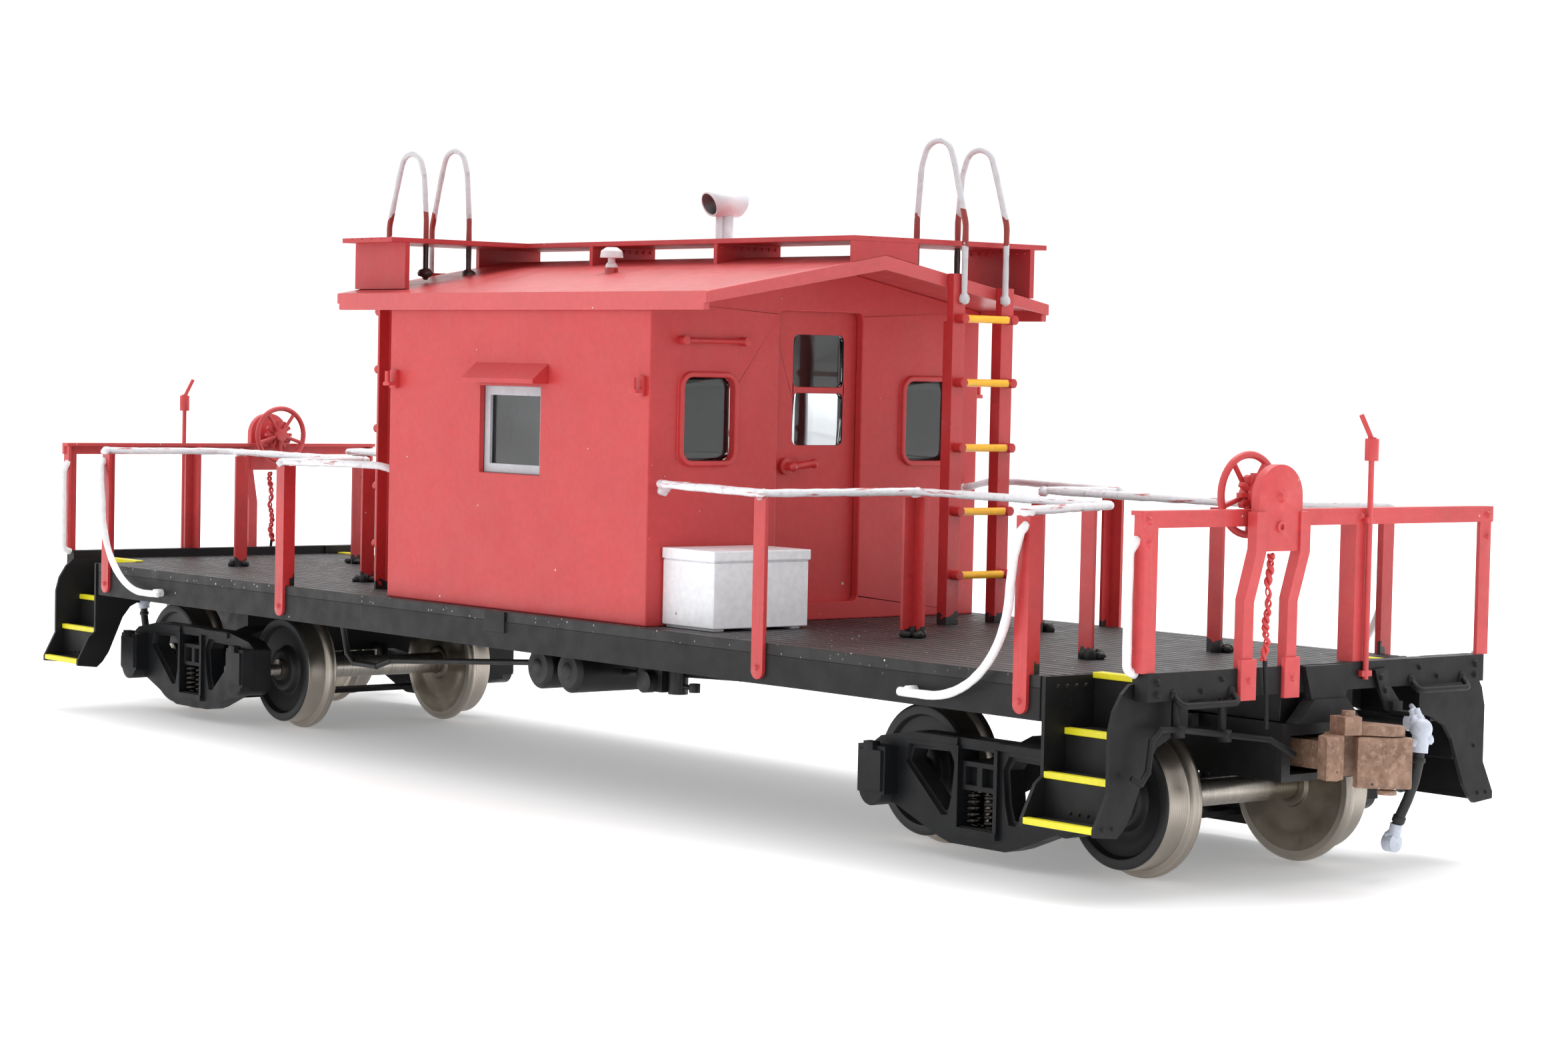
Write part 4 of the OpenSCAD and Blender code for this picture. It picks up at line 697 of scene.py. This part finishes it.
# ---------- grab irons ----------
GRAB_R = 0.31
GRAB_ARC_X, GRAB_ARC_Z, GRAB_ARC_R = 54.0, 20.0, 7.9
BEAM_GRAB_R = 0.225
BEAM_GRAB_Y = (9.0, 14.4)


def placed(points, ex, ey):
    return [Vector((ex * x, ey * y, z)) for x, y, z in points]


white = bmesh.new()
black = bmesh.new()
for i, (ex, ey) in enumerate(CORNERS):
    y = SILL_Y + 0.85
    arc = []
    for a in (math.radians(degrees) for degrees in range(0, 91, 5)):
        arc.append((GRAB_ARC_X + GRAB_ARC_R * math.sin(a), y, GRAB_ARC_Z - GRAB_ARC_R * math.cos(a)))
    curve = [(51.2, y, 12.12), (52.6, y, 12.1)] + arc + [
        (62.2, y, 22.0),
        (62.55, y - 0.2, 23.6),
        (62.7, SILL_Y + 0.2, 24.1),
    ]
    sweep(white, resample(placed(curve, ex, ey), 0.5), GRAB_R, 12, lumps=0.1, seed=i * 3.3)
    stub = [(51.9, SILL_Y - 0.1, 12.2), (51.9, y, 12.2)]
    sweep(white, placed(stub, ex, ey), 0.36, 12)
    upright = [
        (BEAM_X - 1.0, BEAM_Y + 0.2, 14.9),
        (BEAM_X - 1.0, BEAM_Y + 0.95, 15.2),
        (BEAM_X - 1.0, BEAM_Y + 1.0, 22.8),
        (BEAM_X - 0.8, BEAM_Y + 0.4, 23.6),
    ]
    path = resample(fillet(placed(upright, ex, ey), 0.8), 0.5)
    sweep(white, path, GRAB_R, 12, lumps=0.1, seed=i)
    near_y, far_y = BEAM_GRAB_Y
    under = [
        (BEAM_X - 0.1, near_y, 13.6),
        (BEAM_X + 0.75, near_y, 12.85),
        (BEAM_X + 0.75, far_y, 12.85),
        (BEAM_X - 0.1, far_y, 13.6),
    ]
    sweep(black, fillet(placed(under, ex, ey), 0.5), BEAM_GRAB_R, 10)
    for bolt_y in BEAM_GRAB_Y:
        blob(black, (ex * BEAM_X, ey * bolt_y, 13.55), (0.25, 0.36, 0.36), i, 0.1)
piece("grab_wires", white, M_WHITE, "car_body", ["grab_irons"])
piece("beam_grab_wires", black, M_BLACK, "car_body")

# ---------- roof arches over the ladders ----------
ARCH_R = 0.24
ARCH_OUTER_X, ARCH_INNER_X = 26.4, 20.7
ARCH_MID_X = (ARCH_OUTER_X + ARCH_INNER_X) / 2 - 0.5
ARCH_TOPS = ((7.3, 52.4), (11.7, 51.9))


def on_cabin(points, e):
    return [Vector((CAB_SHIFT + e * x, e * y, z)) for x, y, z in points]


bm = bmesh.new()
for e in (1, -1):
    for y, top in ARCH_TOPS:
        loop = [
            (ARCH_OUTER_X, y, 39.6),
            (ARCH_OUTER_X, y, 45.6),
            (ARCH_MID_X + 1.95, y, top - 2.2),
            (ARCH_MID_X + 1.3, y, top - 0.55),
            (ARCH_MID_X, y, top - 0.1),
            (ARCH_MID_X - 1.3, y, top - 0.55),
            (ARCH_MID_X - 1.95, y, top - 2.2),
            (ARCH_INNER_X, y, 46.0),
            (ARCH_INNER_X, y, 41.0),
        ]
        path = resample(fillet(on_cabin(loop, e), 2.4), 0.4)
        sweep(bm, path, ARCH_R, 12, lumps=0.12, seed=e * y)
        foot = [(ARCH_OUTER_X - 0.05, y, 40.0), (ROOF_X + 1.0, y, 39.8)]
        sweep(bm, on_cabin(foot, e), 0.26, 10)
        inner_foot, outer_foot = on_cabin([(ARCH_INNER_X, y, 41.5), (ARCH_OUTER_X, y, 39.75)], e)
        blob(bm, inner_foot, (0.62, 0.62, 0.45), y, 0.3)
        blob(bm, outer_foot, (0.42, 0.4, 0.5), y + 1, 0.3)
piece("roof_grab_arches", bm, M_ARCH, "car_body", ["ladder_arches"])

# ---------- smokejack: a stem of two pipes under an open cross pipe with slanted ends ----------
JACK_SIDES = 32
JACK_SLANT = 0.4
JACK_BORE_END, JACK_END = 0.6, 1.7
JACK_FOOT_Z = 41.2


def upright_pipe(bm, dx, dy, top, radius, sides, round_ends=False):
    low = Vector((JACK_X + dx, JACK_Y + dy, JACK_FOOT_Z))
    high = Vector((JACK_X + dx, JACK_Y + dy, top))
    sweep(bm, [low, high], radius, sides, round_ends=round_ends)


# rings of the cross pipe, from the bottom of one bore over the outside to that of the other
JACK_RINGS = (
    (JACK_BORE_END, JACK_BORE_R),
    (JACK_END, JACK_BORE_R),
    (JACK_END, JACK_OUTER_R),
    (-JACK_END, JACK_OUTER_R),
    (-JACK_END, JACK_BORE_R),
    (-JACK_BORE_END, JACK_BORE_R),
)
bm = bmesh.new()
rows = []
for out, r in JACK_RINGS:
    row = []
    for k in range(JACK_SIDES):
        a = 2 * math.pi * k / JACK_SIDES
        slant = math.copysign(JACK_SLANT, out) * math.sin(a) if abs(out) > 1 else 0.0
        point = Vector((JACK_X + r * math.cos(a), JACK_Y + out + slant, JACK_Z + r * math.sin(a)))
        row.append(bm.verts.new(point * MM))
    rows.append(row)
skin(bm, rows)
upright_pipe(bm, 0.0, 0.25, 47.0, 0.55, 20)
upright_pipe(bm, -0.1, -0.5, 47.1, 0.32, 14)
upright_pipe(bm, 0.0, 0.0, 42.0, 1.0, 24, round_ends=True)
piece("smokejack_pipes", bm, M_JACK, "car_body", ["smokejack"])

# ---------- black touch-up paint at the post feet ----------
bm = bmesh.new()
feet = []
for posts, shift in ((POSTS_CAB[1:], CAB_SHIFT), (POSTS_END, 0.0)):
    for e in (1, -1):
        for (x, y), side in zip(posts, (-1, 1)):
            feet.append((shift + e * x, e * side * y))
for i, (x, y) in enumerate(feet):
    for k in range(4):
        a = 1.3 * k + i
        centre = (x + 0.55 * math.cos(a) + 0.15, y + 0.6 * math.sin(a), DECK_TOP + 0.22)
        size = (0.45, 0.42, 0.3 + 0.16 * ((k + i) % 3))
        blob(bm, centre, size, i * 4 + k, 0.45)
piece("post_foot_paint", bm, M_BLACK, "car_body")

# ---------- brake chains: two strands twisted together, and the plain rod below ----------
CHAIN_TWISTS = 6.0
CHAIN_TOP, CHAIN_DROP = 22.45, 6.95
CHAIN_STEPS = 90
red = bmesh.new()
dark = bmesh.new()
for e in (1, -1):
    for strand in (0.0, math.pi):
        path = []
        for t in (k / CHAIN_STEPS for k in range(CHAIN_STEPS + 1)):
            a = 2 * math.pi * CHAIN_TWISTS * t + 1.1 * math.sin(9.0 * t) + strand
            x = BEAM_X + 0.36 + 0.13 * math.cos(a)
            y = -6.0 - 0.3 * t + 0.16 * math.sin(a) + 0.1 * math.sin(17.0 * t)
            path.append(Vector((e * x, e * y, CHAIN_TOP - CHAIN_DROP * t)))
        sweep(red, path, 0.13, 8, lumps=0.8, seed=strand + e)
    low_rod = [
        (BEAM_X + 0.34, -6.25, 15.6),
        (BEAM_X + 0.32, -6.0, 13.2),
        (BEAM_X + 0.3, -5.85, 10.95),
    ]
    sweep(dark, resample(fillet(placed(low_rod, e, e), 2.0), 0.4), 0.15, 8)
piece("brake_chain_links", red, M_GEAR, "car_body", ["brake_chains"])
piece("brake_chain_rods", dark, M_BLACK, "car_body")

# ---------- air hoses ----------
HOSE_R, CLAMP_R = 0.36, 0.46
bm = bmesh.new()
for e in (1, -1):
    route = [
        (BEAM_X + 2.7, 6.85, 9.1),
        (BEAM_X + 2.66, 6.83, 8.2),
        (BEAM_X + 2.4, 6.77, 6.9),
        (BEAM_X + 1.95, 6.66, 5.6),
        (BEAM_X + 1.5, 6.57, 4.6),
        (BEAM_X + 1.2, 6.5, 3.8),
    ]
    path = resample(fillet(placed(route, e, e), 2.0), 0.15)
    sweep(bm, path, HOSE_R, 14)
    # a clamp near each end
    for share in (0.08, 0.9):
        k = int(len(path) * share)
        sweep(bm, path[k : k + 4], CLAMP_R, 14)
piece("air_hose_rubber", bm, M_HOSE, "car_body", ["air_hoses"])

# ---------- thick silver paint on the angle cock and the glad hand ----------
bm = bmesh.new()
rng = random.Random(11)
for e in (1, -1):
    for k in range(16):
        t = k / 15
        x = BEAM_X + 2.1 + 0.7 * t + rng.uniform(-0.3, 0.3)
        y = 6.95 + rng.uniform(-0.45, 0.45)
        r = rng.uniform(0.24, 0.42)
        blob(bm, (e * x, e * y, 11.5 - 2.1 * t), (r, r * 1.1, r), k + 3 * e, 0.5)
    for k in range(5):
        x = BEAM_X + 0.9 + rng.uniform(-0.2, 0.2)
        y = 6.35 + rng.uniform(-0.35, 0.35)
        z = 2.75 + rng.uniform(-0.25, 0.4)
        r = rng.uniform(0.22, 0.34)
        blob(bm, (e * x, e * y, z), (r, r, r), k + 20, 0.5)
piece("cock_paint_lumps", bm, M_COCK, "car_body")

# ---------- coil springs ----------
COILS = ((0.62, 0.15, 5.2, 1), (0.34, 0.11, 6.5, -1))


def coil(x, y, radius, wire, turns, hand):
    """Path of one coil spring; hand is 1 or -1."""
    low, high = SPRING_Z[0] + wire, SPRING_Z[1] - wire
    steps = int(turns * 16)
    path = []
    for k in range(steps + 1):
        a = 2 * math.pi * turns * k / steps * hand
        z = low + (high - low) * (k / steps)
        path.append(Vector((x + radius * math.cos(a), y + radius * math.sin(a), z)))
    return path


for letter, sx in (("a", 1), ("b", -1)):
    bm = bmesh.new()
    for side in (-1, 1):
        for dx in (-0.9, 0.9):
            for radius, wire, turns, hand in COILS:
                path = coil(sx * TRUCK_X + dx, side * SPRING_Y, radius, wire, turns, hand)
                sweep(bm, path, wire, 8)
    name = f"spring_coils_{letter}"
    piece(name, bm, M_SPRING, f"truck_{letter}", [f"springs_{letter}"])

# ---------- stage, light and camera ----------
bm = bmesh.new()
bmesh.ops.create_circle(bm, cap_ends=True, segments=96, radius=40.0)
floor_mesh = bpy.data.meshes.new("floor")
bm.to_mesh(floor_mesh)
bm.free()
g = Graph("floor_white")
patches = g.ramp(g.noise(400.0, 2.0), 0.3, 0.7)
tone = g.mix(patches, (0.96, 0.96, 0.962), (0.945, 0.945, 0.948))
# a little light of its own, so that the shadows are as light as in the photograph
g.shader.inputs["Emission Color"].default_value = (1.0, 1.0, 1.0, 1.0)
g.shader.inputs["Emission Strength"].default_value = 0.24
floor_mesh.materials.append(g.finish(tone, g.ramp(g.noise(30.0), 0.3, 0.7, 0.6, 0.7), 0.0, 0.3))
floor = bpy.data.objects.new("floor", floor_mesh)
bpy.context.scene.collection.objects.link(floor)

# studio surround: bright overhead and behind the object, dimmer on the camera's side of it
world = bpy.data.worlds.new("studio")
world.use_nodes = True
tree = world.node_tree
coords = tree.nodes.new("ShaderNodeTexCoord")
dot = tree.nodes.new("ShaderNodeVectorMath")
dot.operation = "DOT_PRODUCT"
dot.inputs[1].default_value = (0.77, -0.64, -0.35)
side = tree.nodes.new("ShaderNodeMapRange")
for name, value in (("From Min", -0.3), ("From Max", 0.7), ("To Min", 1.12), ("To Max", 0.9)):
    side.inputs[name].default_value = value
side.interpolation_type = "SMOOTHSTEP"
tree.links.new(coords.outputs["Generated"], dot.inputs[0])
tree.links.new(dot.outputs["Value"], side.inputs["Value"])
tree.links.new(side.outputs[0], tree.nodes["Background"].inputs["Strength"])
tree.nodes["Background"].inputs["Color"].default_value = (1.0, 1.0, 1.0, 1.0)
bpy.context.scene.world = world


def area_light(name, place, target, size, watts):
    data = bpy.data.lights.new(name, "AREA")
    data.shape = "RECTANGLE"
    data.size, data.size_y = size
    data.energy = watts
    lamp = bpy.data.objects.new(name, data)
    bpy.context.scene.collection.objects.link(lamp)
    lamp.location = place
    lamp.rotation_mode = "QUATERNION"
    lamp.rotation_quaternion = (Vector(place) - Vector(target)).to_track_quat("Z", "Y")


area_light("softbox_top", (-0.1, 0.25, 0.7), (0, 0, 0.02), (0.7, 0.5), 3.5)
area_light("softbox_left", (-0.45, -0.6, 0.35), (0, 0, 0.02), (0.5, 0.5), 0.4)

# camera on the line of sight of the photograph
YAW, PITCH, ROLL = math.radians(50.3026), math.radians(2.5767), math.radians(1.2244)
back = Vector((math.sin(YAW) * math.cos(PITCH), -math.cos(YAW) * math.cos(PITCH), math.sin(PITCH)))
right = (-back).cross(Vector((0, 0, 1))).normalized()
up = right.cross(-back)
cam_x = right * math.cos(ROLL) + up * math.sin(ROLL)
cam_y = up * math.cos(ROLL) - right * math.sin(ROLL)
camera_data = bpy.data.cameras.new("camera")
camera_data.sensor_width = 36.0
camera_data.lens = 77.482
camera_data.clip_start, camera_data.clip_end = 0.01, 50.0
camera = bpy.data.objects.new("camera", camera_data)
bpy.context.scene.collection.objects.link(camera)
camera.matrix_world = Matrix.Translation((0.22296, -0.17201, 0.03384)) @ Matrix(
    (cam_x, cam_y, back)
).transposed().to_4x4()
bpy.context.scene.camera = camera
bpy.context.scene.view_settings.view_transform = "Standard"

bpy.context.view_layer.update()
